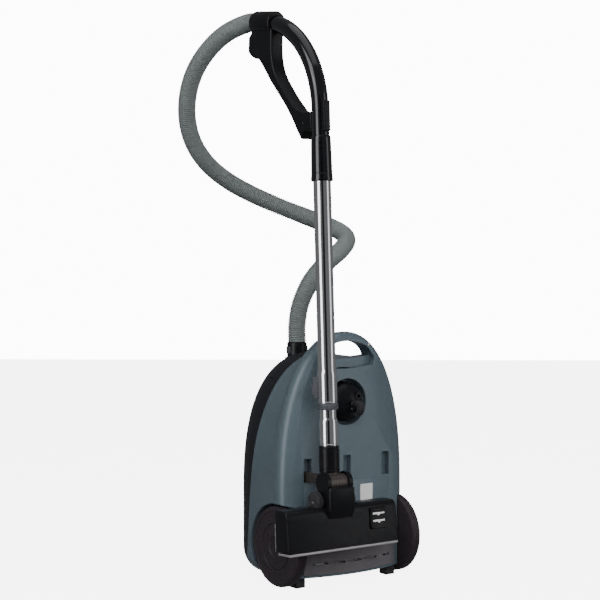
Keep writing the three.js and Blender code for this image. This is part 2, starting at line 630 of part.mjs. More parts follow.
function buildInside() {
  const bag = new THREE.SphereGeometry(1, 16, 10);
  bag.scale(...BAG_HALF);
  bag.translate(...BAG_CENTRE);
  piece('dust_bag', toSolid(bag), 'paper');

  const holderTop = LID_TOP - 1;
  const plate = box(-44, 44, 130, 184, holderTop - 4, holderTop);
  piece('bag_holder', cut(plate, bar('z', 0, INLET_Y, 300, 500, INLET_BORE - 1)), 'panel');

  const [wx, wy] = FILTER_WINDOW;
  const filter = box(MOTOR_X - wx - 4, MOTOR_X + wx + 4, MOTOR_Y - wy - 4, MOTOR_Y + wy + 4,
    BULKHEAD_Z + FIT, BULKHEAD_Z + 8);
  piece('motor_filter', filter, 'foam');

  const can = cut(
    bar('z', MOTOR_X, MOTOR_Y, MOTOR_BOTTOM, MOTOR_TOP, MOTOR_RADIUS),
    bar('z', MOTOR_X, MOTOR_Y, MOTOR_BOTTOM - 1, MOTOR_TOP - WALL, MOTOR_RADIUS - WALL),
    bar('z', MOTOR_X, MOTOR_Y, MOTOR_TOP - 9, MOTOR_TOP + 9, 22));
  piece('motor_housing', can, 'panel');
  const rotor = turned([
    [0, MOTOR_BOTTOM + 4], [4, MOTOR_BOTTOM + 4], [4, MOTOR_BOTTOM + 20], [24, MOTOR_BOTTOM + 20],
    [24, MOTOR_BOTTOM + 66], [6, MOTOR_BOTTOM + 66], [6, MOTOR_TOP - 34], [40, MOTOR_TOP - 34],
    [40, MOTOR_TOP - 22], [8, MOTOR_TOP - 10], [0, MOTOR_TOP - 10]]);
  piece('motor_rotor', rotor.translate([MOTOR_X, MOTOR_Y, 0]), 'steel');
  piece('motor_seal', ring('z', MOTOR_X, MOTOR_Y, MOTOR_TOP + FIT, BULKHEAD_Z - WALL - FIT, 42, 32), 'rubber');

  const spool = turned([
    [4.5, -REEL_HALF], [REEL_RADIUS, -REEL_HALF], [REEL_RADIUS, 3 - REEL_HALF], [32, 3 - REEL_HALF],
    [32, REEL_HALF - 3], [REEL_RADIUS, REEL_HALF - 3], [REEL_RADIUS, REEL_HALF], [4.5, REEL_HALF],
    [4.5, -REEL_HALF]], 28);
  const reel = piece('cord_reel', spool, 'panel');
  reel.position.set(REEL_X, REEL_Y, REEL_Z);
  reel.rotation.y = Math.PI / 2;
  const axle = bar('x', REEL_Y, REEL_Z, REEL_X - REEL_HALF - 6, REEL_X + REEL_HALF + 6, 4, 4, 16);
  piece('reel_axle', axle, 'steel');

  piece('exhaust_filter', box(-84, 84, -9, 2, GRILLE_BOTTOM + 10, GRILLE_BOTTOM + GRILLE_HEIGHT - 12), 'foam');
  piece('control_board', box(-26, 44, 178, 180, 92, 138), 'board');
}

// ---------------------------------------------------------------- outside fittings of the casing

function buildGrille() {
  const { radius, centreY } = tailPlan(0, GRILLE_HALF_WIDTH);
  const top = GRILLE_BOTTOM + GRILLE_HEIGHT;
  const outerReach = radius + FIT + GRILLE_THICKNESS;
  const innerReach = radius + FIT;
  const sweep = Math.asin(GRILLE_HALF_WIDTH / outerReach);
  const shape = new THREE.Shape();
  shape.absarc(0, centreY, outerReach, -Math.PI / 2 - sweep, -Math.PI / 2 + sweep, false);
  shape.absarc(0, centreY, innerReach, -Math.PI / 2 + sweep, -Math.PI / 2 - sweep, true);
  let grille = pushedAlongZ(shape, GRILLE_BOTTOM, top);
  for (let i = 0; i < SLOT_COUNT; i++) {
    const x = (i - (SLOT_COUNT - 1) / 2) * SLOT_PITCH;
    grille = cut(grille, box(x - 16, x + 16, -60, 20, 45, 49));
  }
  grille = cut(grille, box(-70, -46, -60, 20, 70, 73));
  piece('exhaust_grille', grille, 'panel');
}

function buildWheels() {
  const profile = [
    [WHEEL_HOLE_RADIUS, 0], [WHEEL_RADIUS - 5, 0], [WHEEL_RADIUS, 5], [WHEEL_RADIUS, WHEEL_THICKNESS - 6],
    [WHEEL_RADIUS - 6, WHEEL_THICKNESS], [20, WHEEL_THICKNESS], [WHEEL_HOLE_RADIUS, WHEEL_THICKNESS - 2],
    [WHEEL_HOLE_RADIUS, 0]];
  for (const [name, side] of [['left', -1], ['right', 1]]) {
    const wheel = piece('wheel_' + name, turned(profile, 36), 'wheel');
    wheel.position.set(side * (BODY_HALF_WIDTH - WHEEL_THICKNESS), WHEEL_Y, wheelZ);
    wheel.rotation.y = side * Math.PI / 2;
    const from = BODY_HALF_WIDTH - wellDepth - WALL - AXLE_GRIP;
    const to = BODY_HALF_WIDTH - 3;
    const axle = join(
      bar('x', WHEEL_Y, wheelZ, from, to, AXLE_RADIUS, undefined, 16),
      bar('x', WHEEL_Y, wheelZ, from, from + AXLE_GRIP - FIT, AXLE_RADIUS + 4, undefined, 16));
    const placed = side > 0 ? axle : axle.mirror([1, 0, 0]);
    piece('wheel_axle_' + name, placed, 'steel');
  }
}

function buildCaster() {
  const rollerZ = CASTER_Z - CASTER_TRAIL;
  const base = CASTER_RECESS_DEPTH - FIT;
  const dome = turned([
    [0, -base - 8], [CASTER_STEM_RADIUS, -base - 8], [CASTER_STEM_RADIUS, -base], [CASTER_DOME_RADIUS, -base],
    [CASTER_DOME_RADIUS, -8], [CASTER_DOME_RADIUS - 4, 2], [CASTER_DOME_RADIUS - 14, 12], [16, 18], [0, 20]], 28);
  dome.rotate([90, 0, 0]);
  const upright = dome.rotate([90, 0, 0]).translate([0, 0, CASTER_Z]);
  const halfSlot = CASTER_ROLLER_WIDTH / 2 + 0.6;
  const earSolid = join(
    bar('x', CASTER_AXLE_Y, rollerZ, -halfSlot - 5, halfSlot + 5, 7),
    box(-halfSlot - 5, halfSlot + 5, CASTER_AXLE_Y, 0, rollerZ - 7, rollerZ + 7));
  const room = bar('x', CASTER_AXLE_Y, rollerZ, -halfSlot, halfSlot, CASTER_ROLLER_RADIUS + 2);
  let body = cut(join(upright, earSolid), room);
  body = cut(body, bar('x', CASTER_AXLE_Y, rollerZ, -30, 30, CASTER_AXLE_RADIUS + 0.2, undefined, 12));
  piece('caster_dome', body, 'black');
  const axle = bar('x', CASTER_AXLE_Y, rollerZ, -halfSlot - 5, halfSlot + 5, CASTER_AXLE_RADIUS, undefined, 12);
  piece('caster_axle', axle, 'steel');
  const half = CASTER_ROLLER_WIDTH / 2;
  const roller = ring('x', CASTER_AXLE_Y, rollerZ, -half, half, CASTER_ROLLER_RADIUS, CASTER_AXLE_RADIUS + 0.4, 24);
  piece('caster_roller', roller, 'rubber');
}

function buildFeetAndSmallParts() {
  const half = FOOT_WIDTH / 2;
  for (const [row, [x, y]] of [['front', FOOT_FRONT], ['back', FOOT_BACK]]) {
    for (const [name, side] of [['left', -1], ['right', 1]]) {
      const at = side * x;
      piece('foot_' + row + '_' + name, box(at - half, at + half, y - half, y + half, 0, FOOT_Z - FIT), 'rubber');
    }
  }
  for (const [name, side] of [['left', -1], ['right', 1]]) {
    const head = bar('y', side * SCREW_X, SCREW_Z, 3, 12 - FIT, SCREW_RADIUS, undefined, 12);
    piece('handle_screw_' + name, head, 'steel');
  }
  piece('rating_plate', box(31, 61, -2.9, -2.35, 154, 190), 'white');
}

// ---------------------------------------------------------------- hose

function buildHoseCuff() {
  const profile = [
    [HOSE_CUFF_BORE, HOSE_CUFF_BOTTOM], [INLET_BORE - 0.5, HOSE_CUFF_BOTTOM], [INLET_BORE - 0.5, HOSE_CUFF_SEAT],
    [HOSE_CUFF_RADIUS, HOSE_CUFF_SEAT], [HOSE_CUFF_RADIUS, HOSE_CUFF_TOP - 3], [HOSE_CUFF_RADIUS - 1, HOSE_CUFF_TOP],
    [HOSE_CUFF_BORE, HOSE_CUFF_TOP], [HOSE_CUFF_BORE, HOSE_CUFF_BOTTOM]];
  let cuff = turned(profile, 28).translate([0, INLET_Y, 0]);
  for (const [name, side] of [['left', -1], ['right', 1]]) {
    const x0 = 17.6;
    const x1 = HOSE_CUFF_RADIUS + 2.4;
    const [from, to] = side < 0 ? [-x1, -x0] : [x0, x1];
    const [clearFrom, clearTo] = side < 0 ? [-x1, -x0 + 9] : [x0 - 9, x1];
    const y = INLET_Y;
    cuff = cut(cuff, box(clearFrom, clearTo, y - 6.4, y + 6.4, HOSE_CUFF_SEAT + 7.6, HOSE_CUFF_SEAT + 22.4));
    piece('cuff_button_' + name, box(from, to, y - 6, y + 6, HOSE_CUFF_SEAT + 8, HOSE_CUFF_SEAT + 22), 'grey');
  }
  piece('hose_cuff', cuff, 'black');
}

// The free hose, from the cuff on the inlet to the socket of the handle.
const HOSE_ROUTE = [
  [0, 170, 462.4], [0, 170, 498], [6, 166, 540], [28, 162, 584], [72, 168, 622], [126, 190, 648],
  [170, 228, 668], [194, 280, 684], [190, 336, 702], [162, 384, 722], [118, 418, 744], [66, 438, 768],
  [12, 448, 796], [-38, 448, 830], [-78, 438, 870], [-106, 420, 916], [-122, 394, 966], [-128, 358, 1014],
  [-124, 312, 1056], [-112, 260, 1088],
];

function buildHose(endPoint, endBefore) {
  const points = [...HOSE_ROUTE.map((p) => new THREE.Vector3(...p)), endBefore, endPoint];
  const route = new THREE.CatmullRomCurve3(points, false, 'centripetal');
  const section = new THREE.Shape();
  section.absarc(0, 0, HOSE_RADIUS, 0, 2 * Math.PI, false);
  const bore = new THREE.Path();
  bore.absarc(0, 0, HOSE_BORE, 0, 2 * Math.PI, true);
  section.holes.push(bore);
  const geometry = new THREE.ExtrudeGeometry(section, {
    steps: HOSE_STEPS, curveSegments: 5, bevelEnabled: false, extrudePath: route,
  });
  piece('hose', toSolid(geometry), 'hose');
}

// ---------------------------------------------------------------- wand

function buildWand() {
  const bore = OUTER_TUBE_RADIUS - TUBE_WALL;
  piece('wand_upper_tube', turned([
    [bore, SLEEVE_BOTTOM], [SLEEVE_RADIUS, SLEEVE_BOTTOM], [SLEEVE_RADIUS, SLEEVE_TOP],
    [OUTER_TUBE_RADIUS, SLEEVE_TOP + 8], [OUTER_TUBE_RADIUS, OUTER_TUBE_TOP], [bore, OUTER_TUBE_TOP],
    [bore, SLEEVE_BOTTOM]], WAND_SIDES), 'chrome', tool);
  piece('wand_collar', turned([
    [INNER_TUBE_RADIUS + FIT, COLLAR_BOTTOM], [COLLAR_RADIUS - 1, COLLAR_BOTTOM], [COLLAR_RADIUS, COLLAR_BOTTOM + 1],
    [COLLAR_RADIUS, SLEEVE_BOTTOM - 2], [COLLAR_RADIUS - 1, SLEEVE_BOTTOM - FIT],
    [INNER_TUBE_RADIUS + FIT, SLEEVE_BOTTOM - FIT], [INNER_TUBE_RADIUS + FIT, COLLAR_BOTTOM]], WAND_SIDES), 'grey', tool);
  const innerBore = INNER_TUBE_RADIUS - TUBE_WALL;
  piece('wand_lower_tube', turned([
    [innerBore, CUFF_BOTTOM + 6], [INNER_TUBE_RADIUS, CUFF_BOTTOM + 6], [INNER_TUBE_RADIUS, CUFF_TOP + FIT],
    [COUPLING_RADIUS, CUFF_TOP + FIT], [COUPLING_RADIUS, COUPLING_TOP - 6], [INNER_TUBE_RADIUS, COUPLING_TOP],
    [INNER_TUBE_RADIUS, INNER_TUBE_TOP], [innerBore, INNER_TUBE_TOP], [innerBore, CUFF_BOTTOM + 6]], WAND_SIDES),
  'chrome', tool);
  const seat = SLEEVE_RADIUS + FIT;
  const slider = cut(
    join(box(seat - 3, seat + 8, -7, 7, SLEEVE_BOTTOM + 8, SLEEVE_TOP - 6),
      box(seat + 6, seat + 11, -6, 6, SLEEVE_BOTTOM + 14, SLEEVE_TOP - 22)),
    bar('z', 0, 0, 100, 300, seat, undefined, WAND_SIDES));
  const lock = piece('lock_slider', slider, 'grey', tool);
  lock.rotation.z = SLIDER_TURN;
}

// ---------------------------------------------------------------- handle
class HandleLine extends THREE.Curve {
  constructor(from, straight) {
    super();
    this.from = from;
    this.rise = HANDLE_BEND_START - from;
    this.bend = HANDLE_BEND_RADIUS * HANDLE_BEND_ANGLE;
    this.straight = straight;
  }

  // The tube rises, bends towards +Y and runs out straight.
  getPoint(t, target = new THREE.Vector3()) {
    const length = t * (this.rise + this.bend + this.straight);
    if (length <= this.rise) return target.set(0, 0, this.from + length);
    const angle = Math.min((length - this.rise) / HANDLE_BEND_RADIUS, HANDLE_BEND_ANGLE);
    const beyond = Math.max(0, length - this.rise - this.bend);
    const y = HANDLE_BEND_RADIUS * (1 - Math.cos(angle)) + beyond * Math.sin(angle);
    const z = HANDLE_BEND_START + HANDLE_BEND_RADIUS * Math.sin(angle) + beyond * Math.cos(angle);
    return target.set(0, y, z);
  }
}

function handleTubeSolid(radius, bore) {
  const line = new HandleLine(HANDLE_TUBE_BOTTOM, HANDLE_RUN_OUT);
  const section = new THREE.Shape();
  section.absarc(0, 0, radius, 0, 2 * Math.PI, false);
  if (bore) {
    const hole = new THREE.Path();
    hole.absarc(0, 0, bore, 0, 2 * Math.PI, true);
    section.holes.push(hole);
  }
  return toSolid(new THREE.ExtrudeGeometry(section, {
    steps: 16, curveSegments: 8, bevelEnabled: false, extrudePath: line,
  }));
}

function gripShape() {
  const shape = new THREE.Shape();
  shape.moveTo(198, 884);
  shape.lineTo(216, 868);
  shape.lineTo(219, 840);
  shape.quadraticCurveTo(204, 822, 184, 822);
  shape.quadraticCurveTo(160, 796, 146, 776);
  shape.lineTo(98, 724);
  shape.quadraticCurveTo(74, 696, 58, 668);
  shape.lineTo(46, 652);
  shape.lineTo(38, 664);
  shape.lineTo(10, 668);
  shape.lineTo(10, 702);
  shape.quadraticCurveTo(40, 700, 56, 708);
  shape.quadraticCurveTo(88, 736, 116, 772);
  shape.quadraticCurveTo(140, 802, 136, 846);
  shape.lineTo(134, 884);
  shape.closePath();
  return shape;
}

function buildHandle() {
  const cuffFit = OUTER_TUBE_RADIUS + FIT;
  piece('handle_cuff', turned([
    [cuffFit, HANDLE_CUFF_BOTTOM], [HANDLE_CUFF_RADIUS, HANDLE_CUFF_BOTTOM], [HANDLE_CUFF_RADIUS, HANDLE_CUFF_BOTTOM + 6],
    [HANDLE_CUFF_RADIUS - 2, HANDLE_CUFF_TOP - 12], [HANDLE_CUFF_RADIUS - 3, HANDLE_CUFF_TOP],
    [HANDLE_TUBE_RADIUS + FIT, HANDLE_CUFF_TOP], [HANDLE_TUBE_RADIUS + FIT, HANDLE_TUBE_BOTTOM],
    [cuffFit, HANDLE_TUBE_BOTTOM], [cuffFit, HANDLE_CUFF_BOTTOM]], 28), 'gloss', tool);

  const bleed = box(-4, 4, -30, 0, BLEED_Z - 8, BLEED_Z + 8);
  piece('handle_tube', cut(handleTubeSolid(HANDLE_TUBE_RADIUS, HANDLE_TUBE_BORE), bleed), 'gloss', tool);

  const endY = HANDLE_BEND_RADIUS * (1 - Math.cos(HANDLE_BEND_ANGLE));
  const endZ = HANDLE_BEND_START + HANDLE_BEND_RADIUS * Math.sin(HANDLE_BEND_ANGLE);
  const tubeRoom = handleTubeSolid(HANDLE_TUBE_RADIUS + FIT, 0);
  const end = new THREE.Group();
  end.position.set(0, endY, endZ);
  end.rotation.x = Math.PI / 2 - HANDLE_BEND_ANGLE;
  tool.add(end);

  const socketShape = new THREE.Shape();
  socketShape.absellipse(0, 0, 21.5, 23, 0, 2 * Math.PI, false, 0);
  const socket = pushedAlongY(socketShape, SOCKET_BACK, SOCKET_FRONT, 2);
  const turnedSocket = socket.rotate([THREE.MathUtils.radToDeg(end.rotation.x), 0, 0]).translate([0, endY, endZ]);
  const hoseBore = bar('y', 0, 0, HANDLE_RUN_OUT - 1, SOCKET_FRONT + 5, HOSE_BORE, undefined, 24)
    .rotate([THREE.MathUtils.radToDeg(end.rotation.x), 0, 0]).translate([0, endY, endZ]);
  piece('hose_socket', cut(turnedSocket, tubeRoom, hoseBore), 'black', tool);

  const socketRoom = pushedAlongY(growEllipse(), SOCKET_BACK - 1, SOCKET_FRONT + 9)
    .rotate([THREE.MathUtils.radToDeg(end.rotation.x), 0, 0]).translate([0, endY, endZ]);
  let grip = pushedAlongX(gripShape(), -15, 15, 5);
  grip = cut(grip, tubeRoom, socketRoom, bar('x', GRIP_SCREW[0], GRIP_SCREW[1], -20, 20, 2.6, undefined, 12));
  piece('handle_grip', grip, 'black', tool);
  const screw = bar('x', GRIP_SCREW[0], GRIP_SCREW[1], -13.5, 13.5, 2.2, undefined, 12);
  piece('grip_screw', screw, 'steel', tool);

  const sliderSeat = HANDLE_TUBE_RADIUS + FIT;
  const slider = cut(box(-7.5, 7.5, -sliderSeat - 6, -sliderSeat + 3, BLEED_Z - BLEED_HALF, BLEED_Z + BLEED_HALF), tubeRoom);
  piece('bleed_slider', slider, 'black', tool);
  return end;
}

function growEllipse() {
  const shape = new THREE.Shape();
  shape.absellipse(0, 0, 21.5 + FIT, 23 + FIT, 0, 2 * Math.PI, false, 0);
  return shape;
}

// ---------------------------------------------------------------- floor head

function buildNeck() {
  const cuff = turned([
    [13, CUFF_BOTTOM], [CUFF_RADIUS, CUFF_BOTTOM], [CUFF_RADIUS, CUFF_TOP - 3], [CUFF_RADIUS - 1, CUFF_TOP],
    [INNER_TUBE_RADIUS + FIT, CUFF_TOP], [INNER_TUBE_RADIUS + FIT, CUFF_BOTTOM + 5.5], [13, CUFF_BOTTOM + 5.5],
    [13, CUFF_BOTTOM]], 28);
  piece('neck_cuff', cuff, 'black', tool);

  const knuckle = bar('x', KNUCKLE_Y, 0, -KNUCKLE_HALF, KNUCKLE_HALF, KNUCKLE_RADIUS, undefined, 28);
  const lean = new THREE.CylinderGeometry(17, 15.5, 24, 24);
  lean.rotateX(Math.PI / 2);
  lean.rotateX(-Math.PI / 4.6);
  lean.translate(0, -6, 5);
  const collar = bar('z', 0, 0, 9, CUFF_BOTTOM - FIT, 18, undefined, 24);
  const arm = box(-HOOK_HALF, HOOK_HALF, 8, -WAND_Y + SLOT_DEPTH - 3, -7, 13);
  const channel = bar('z', 0, -5, -30, 30, 10.5, undefined, 20);
  const above = box(-40, 40, -40, 40, CUFF_BOTTOM - FIT, CUFF_BOTTOM + 40);
  piece('neck_elbow', cut(join(knuckle, toSolid(lean), collar, arm), channel, above), 'grey', tool);
}

function headSection(inset) {
  const shape = new THREE.Shape();
  shape.moveTo(SOLE - 3 + inset, HEAD_BOTTOM + inset);
  shape.lineTo(FACE + inset, HEAD_BOTTOM + inset);
  shape.lineTo(FACE + inset, HEAD_BOTTOM + 12);
  shape.lineTo(FACE + 3 + inset, HEAD_TOP - 18);
  shape.quadraticCurveTo(FACE + 4 + inset, HEAD_TOP - inset, FACE + 18, HEAD_TOP - inset);
  shape.lineTo(SOLE - 3 + inset, HEAD_TOP - inset);
  shape.closePath();
  return shape;
}

function headCover() {
  const left = HEAD_OFFSET - HEAD_HALF;
  const right = HEAD_OFFSET + HEAD_HALF;
  const hump = new THREE.Shape();
  hump.moveTo(FACE + 1, HEAD_TOP - 22);
  hump.lineTo(FACE - 6, HEAD_TOP - 8);
  hump.lineTo(FACE - 6, -10);
  hump.lineTo(FACE - 2, -6);
  hump.lineTo(14, -6);
  hump.lineTo(14, HEAD_TOP - 22);
  hump.closePath();
  const solid = join(pushedAlongX(headSection(0), left, right), pushedAlongX(hump, -HUMP_HALF, HUMP_HALF, 2),
    bar('x', 0, 0, -HUMP_HALF, HUMP_HALF, 20, undefined, 28));
  const hollow = pushedAlongX(headSection(HEAD_WALL), left + HEAD_WALL, right - HEAD_WALL);
  const px = PEDAL_X;
  const pocketHalf = PEDAL_HALF + 1.2;
  const keep = box(px - pocketHalf - 2, px + pocketHalf + 2, FACE - 1, -6, PEDAL_Z - pocketHalf - 2,
    PEDAL_Z + pocketHalf + 2);
  const take = [
    box(px - PEDAL_HALF - 0.5, px + PEDAL_HALF + 0.5, FACE - 9, -8, PEDAL_Z - pocketHalf, PEDAL_Z + pocketHalf),
    bar('x', 0, 0, -KNUCKLE_HALF - 0.5, KNUCKLE_HALF + 0.5, KNUCKLE_RADIUS + 0.5, undefined, 28),
    box(-KNUCKLE_HALF - 0.5, KNUCKLE_HALF + 0.5, -50, 60, -6, 60),
    box(-KNUCKLE_HALF - 0.5, KNUCKLE_HALF + 0.5, 6, 60, -40, 60),
    box(-12, 12, -12, 12, HEAD_TOP - 10, 0),
    bar('x', PEDAL_PIN_Y, PEDAL_Z, px - PEDAL_HALF - 2, px + PEDAL_HALF + 2, 1.7, undefined, 12),
  ];
  for (const side of [-1, 1]) {
    const inner = side * (HUMP_HALF - 1);
    const outer = side * (HUMP_HALF + 18);
    take.push(bar('x', HEAD_WHEEL_Y, HEAD_WHEEL_Z, Math.min(inner + side, outer), Math.max(inner + side, outer),
      HEAD_WHEEL_RADIUS + 1.5));
  }
  take.push(bar('x', HEAD_WHEEL_Y, HEAD_WHEEL_Z, -HUMP_HALF - 9, HUMP_HALF + 9, 3.2, undefined, 12));
  return cut(solid, cut(hollow, keep, pushedAlongX(hump, -HUMP_HALF, HUMP_HALF)), ...take);
}

function buildHead() {
  const head = new THREE.Group();
  head.position.set(0, KNUCKLE_Y, 0);
  tool.add(head);
  piece('head_cover', headCover(), 'black', head);

  const left = HEAD_OFFSET - HEAD_HALF;
  const right = HEAD_OFFSET + HEAD_HALF;
  const slotLeft = left + 26;
  const slotRight = right - 26;
  let sole = box(left + 1, right - 1, SOLE - 3 + FIT, SOLE, HEAD_BOTTOM + 1, HEAD_TOP - 24);
  sole = cut(sole, box(slotLeft, slotRight, 0, 60, HEAD_BOTTOM + 10, HEAD_BOTTOM + 24));
  sole = cut(sole, box(slotLeft - 1, slotRight + 1, 0, 60, HEAD_BOTTOM + 30, HEAD_BOTTOM + 36));
  piece('sole_plate', sole, 'steel', head);
  const brush = box(slotLeft, slotRight, SOLE - 14, SOLE - 0.5, HEAD_BOTTOM + 31, HEAD_BOTTOM + 35);
  piece('brush_strip', brush, 'bristle', head);
  const strip = box(left + 1, right - 1, FACE - 2, SOLE - 8, HEAD_BOTTOM - 5, HEAD_BOTTOM - FIT);
  piece('front_strip', strip, 'silver', head);

  const pad = new THREE.Shape();
  pad.moveTo(-6, -PEDAL_HALF);
  pad.lineTo(-4.5, 0);
  pad.lineTo(-6, PEDAL_HALF);
  pad.lineTo(3, PEDAL_HALF);
  pad.lineTo(4, 0);
  pad.lineTo(3, -PEDAL_HALF);
  pad.closePath();
  const pedal = piece('brush_pedal', cut(pushedAlongX(pad, -PEDAL_HALF, PEDAL_HALF),
    bar('x', 0, 0, -30, 30, 1.7, undefined, 12)), 'black', head);
  pedal.position.set(PEDAL_X, PEDAL_PIN_Y, PEDAL_Z);
  pedal.rotation.x = -PEDAL_TILT;
  piece('pedal_pin', bar('x', PEDAL_PIN_Y, PEDAL_Z, PEDAL_X - PEDAL_HALF - 1.6, PEDAL_X + PEDAL_HALF + 1.6, 1.4,
    undefined, 12), 'steel', head);

  const axle = bar('x', HEAD_WHEEL_Y, HEAD_WHEEL_Z, -HUMP_HALF - 15, HUMP_HALF + 15, 2.8, undefined, 12);
  piece('head_axle', axle, 'steel', head);
  for (const [name, side] of [['left', -1], ['right', 1]]) {
    const near = side * (HUMP_HALF + 1);
    const far = side * (HUMP_HALF + 15);
    piece('head_wheel_' + name, ring('x', HEAD_WHEEL_Y, HEAD_WHEEL_Z, Math.min(near, far), Math.max(near, far),
      HEAD_WHEEL_RADIUS, 3.2, 28), 'rubber', head);
  }
}

buildCasing();
buildCoverFittings();
buildInside();
buildGrille();
buildWheels();
buildCaster();
buildFeetAndSmallParts();
buildHoseCuff();
buildWand();
const handleEnd = buildHandle();
buildNeck();
buildHead();

// the part stands with its box, the hose left out, centred over the origin
const rigidBox = new THREE.Box3().setFromObject(machine, true);
const middle = rigidBox.getCenter(new THREE.Vector3());
machine.position.set(-Math.round(middle.x * 2) / 2, -Math.round(middle.y * 2) / 2, 0);
machine.updateMatrixWorld(true);
const alongEnd = (distance) => machine.worldToLocal(handleEnd.localToWorld(new THREE.Vector3(0, distance, 0)));
buildHose(alongEnd(SOCKET_FRONT + FIT), alongEnd(SOCKET_FRONT + 30));

export default machine;
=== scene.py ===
"""Looks of a canister vacuum cleaner parked on its rear end.

Metres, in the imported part's own frame: +Z up, the belly towards -Y, the dust lid towards +Y.
"""
import json
import logging
import math
from dataclasses import dataclass
from enum import Enum
from typing import Any, Callable, Sequence

import bmesh
import bpy
from mathutils import Matrix, Vector


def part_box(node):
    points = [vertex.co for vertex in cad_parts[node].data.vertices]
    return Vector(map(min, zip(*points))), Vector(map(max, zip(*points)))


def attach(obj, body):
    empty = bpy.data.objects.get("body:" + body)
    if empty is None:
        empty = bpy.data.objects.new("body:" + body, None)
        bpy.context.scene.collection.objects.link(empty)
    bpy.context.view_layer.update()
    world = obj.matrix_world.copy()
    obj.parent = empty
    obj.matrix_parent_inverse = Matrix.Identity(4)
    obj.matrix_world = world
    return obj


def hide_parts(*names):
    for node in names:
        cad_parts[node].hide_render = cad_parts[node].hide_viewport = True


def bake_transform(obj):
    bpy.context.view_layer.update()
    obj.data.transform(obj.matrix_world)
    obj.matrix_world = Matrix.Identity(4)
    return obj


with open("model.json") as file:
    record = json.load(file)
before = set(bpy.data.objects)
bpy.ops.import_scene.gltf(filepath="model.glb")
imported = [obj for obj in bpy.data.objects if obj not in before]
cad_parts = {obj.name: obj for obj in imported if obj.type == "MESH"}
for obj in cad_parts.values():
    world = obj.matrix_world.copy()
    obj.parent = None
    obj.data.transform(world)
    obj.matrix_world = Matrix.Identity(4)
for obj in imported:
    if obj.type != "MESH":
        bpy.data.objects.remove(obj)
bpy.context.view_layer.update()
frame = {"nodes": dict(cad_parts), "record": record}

MM = 0.001
FIT = 0.35
BEYOND = 300
SHARP_DEGREES = 32.0
SOFT_EDGE_DEGREES = 34.0
WELD = 0.00002
SHIFT = Vector((33.5, -48.0, 0))
HOME = Matrix.Translation(SHIFT * MM)
SIDES: tuple[tuple[str, int], ...] = (("left", -1), ("right", 1))
LOG = logging.getLogger("canister_vacuum")
BODY_OF: dict[str, str] = {
    node: body for body, nodes in frame["record"]["behaviour"]["bodies"].items() for node in nodes}
SLOT_OF: dict[str, str] = {row["node"]: row["material_slot"] for row in frame["record"]["subparts"]}


# ------------------------------------------------------------------ shader graph
class Wire:
    """One output socket that takes part in sums and products."""

    def __init__(self, graph: "Graph", socket: Any) -> None:
        """Keeps the graph that the socket belongs to."""
        self.graph = graph
        self.socket = socket

    def _math(self, operation: str, first: Any, second: Any) -> "Wire":
        """Adds one Math node for two values."""
        return self.graph.node("ShaderNodeMath", {"operation": operation}, {0: first, 1: second})

    def __add__(self, other: Any) -> "Wire":
        """Sum."""
        return self._math("ADD", self, other)

    __radd__ = __add__

    def __mul__(self, other: Any) -> "Wire":
        """Product."""
        return self._math("MULTIPLY", self, other)

    __rmul__ = __mul__

    def __sub__(self, other: Any) -> "Wire":
        """Difference."""
        return self._math("SUBTRACT", self, other)

    def __rsub__(self, other: Any) -> "Wire":
        """Difference, the other way round."""
        return self._math("SUBTRACT", other, self)


class Graph:
    """The node tree of one material."""

    def __init__(self, name: str) -> None:
        """Starts a material with an empty tree."""
        self.material = bpy.data.materials.new(f"{name}_finish")
        self.material.use_nodes = True
        self.tree = self.material.node_tree
        self.tree.nodes.clear()

    def node(self, kind: str, settings: dict[str, Any] | None = None,
             sockets: dict[Any, Any] | None = None, out: Any = 0) -> Wire:
        """Adds one node.

        Args:
            kind: the node's type.
            settings: values set on the node before its sockets.
            sockets: values or wires for its inputs, by name or number.
            out: the output that is returned.

        Returns:
            The output socket as a wire.
        """
        made = self.tree.nodes.new(kind)
        for key, value in (settings or {}).items():
            setattr(made, key, value)
        for key, value in (sockets or {}).items():
            if isinstance(value, Wire):
                self.tree.links.new(value.socket, made.inputs[key])
            else:
                made.inputs[key].default_value = value
        return Wire(self, made.outputs[out])

    def place(self, scale: Sequence[float] = (1, 1, 1), turn: Sequence[float] = (0, 0, 0)) -> Wire:
        """Object coordinates, scaled and turned."""
        at = self.node("ShaderNodeTexCoord", out="Object")
        return self.node("ShaderNodeMapping", {}, {"Vector": at, "Scale": scale, "Rotation": turn})

    def noise(self, size: float, detail: float = 3.0, at: Wire | None = None) -> Wire:
        """Noise whose features are about `size` metres across."""
        return self.node("ShaderNodeTexNoise", {}, {
            "Vector": at or self.place(), "Scale": 1 / size, "Detail": detail, "Roughness": 0.55})

    def ramp(self, value: Wire, low: float, high: float) -> Wire:
        """The value spread from 0 at `low` to 1 at `high`."""
        return self.node("ShaderNodeMapRange", {}, {"Value": value, "From Min": low, "From Max": high})

    def mix(self, share: Any, first: Any, second: Any) -> Wire:
        """A colour between two."""
        return self.node("ShaderNodeMix", {"data_type": "RGBA"}, {
            "Factor": share, 6: first, 7: second}, out=2)

    def finish(self, shader: dict[Any, Any], height: Wire | None = None, depth: float = 0.0,
               strength: float = 1.0) -> bpy.types.Material:
        """Closes the tree with a Principled shader, and a bump of `depth` metres.

        Args:
            shader: the shader's own sockets.
            height: what the bump follows.
            depth: the bump's height in metres.
            strength: how much of the bump shows.

        Returns:
            The material.
        """
        if height is not None:
            shader = {**shader, "Normal": self.node("ShaderNodeBump", {}, {
                "Height": height, "Distance": depth, "Strength": strength})}
        bsdf = self.node("ShaderNodeBsdfPrincipled", {}, shader)
        out = self.tree.nodes.new("ShaderNodeOutputMaterial")
        self.tree.links.new(bsdf.socket, out.inputs["Surface"])
        return self.material


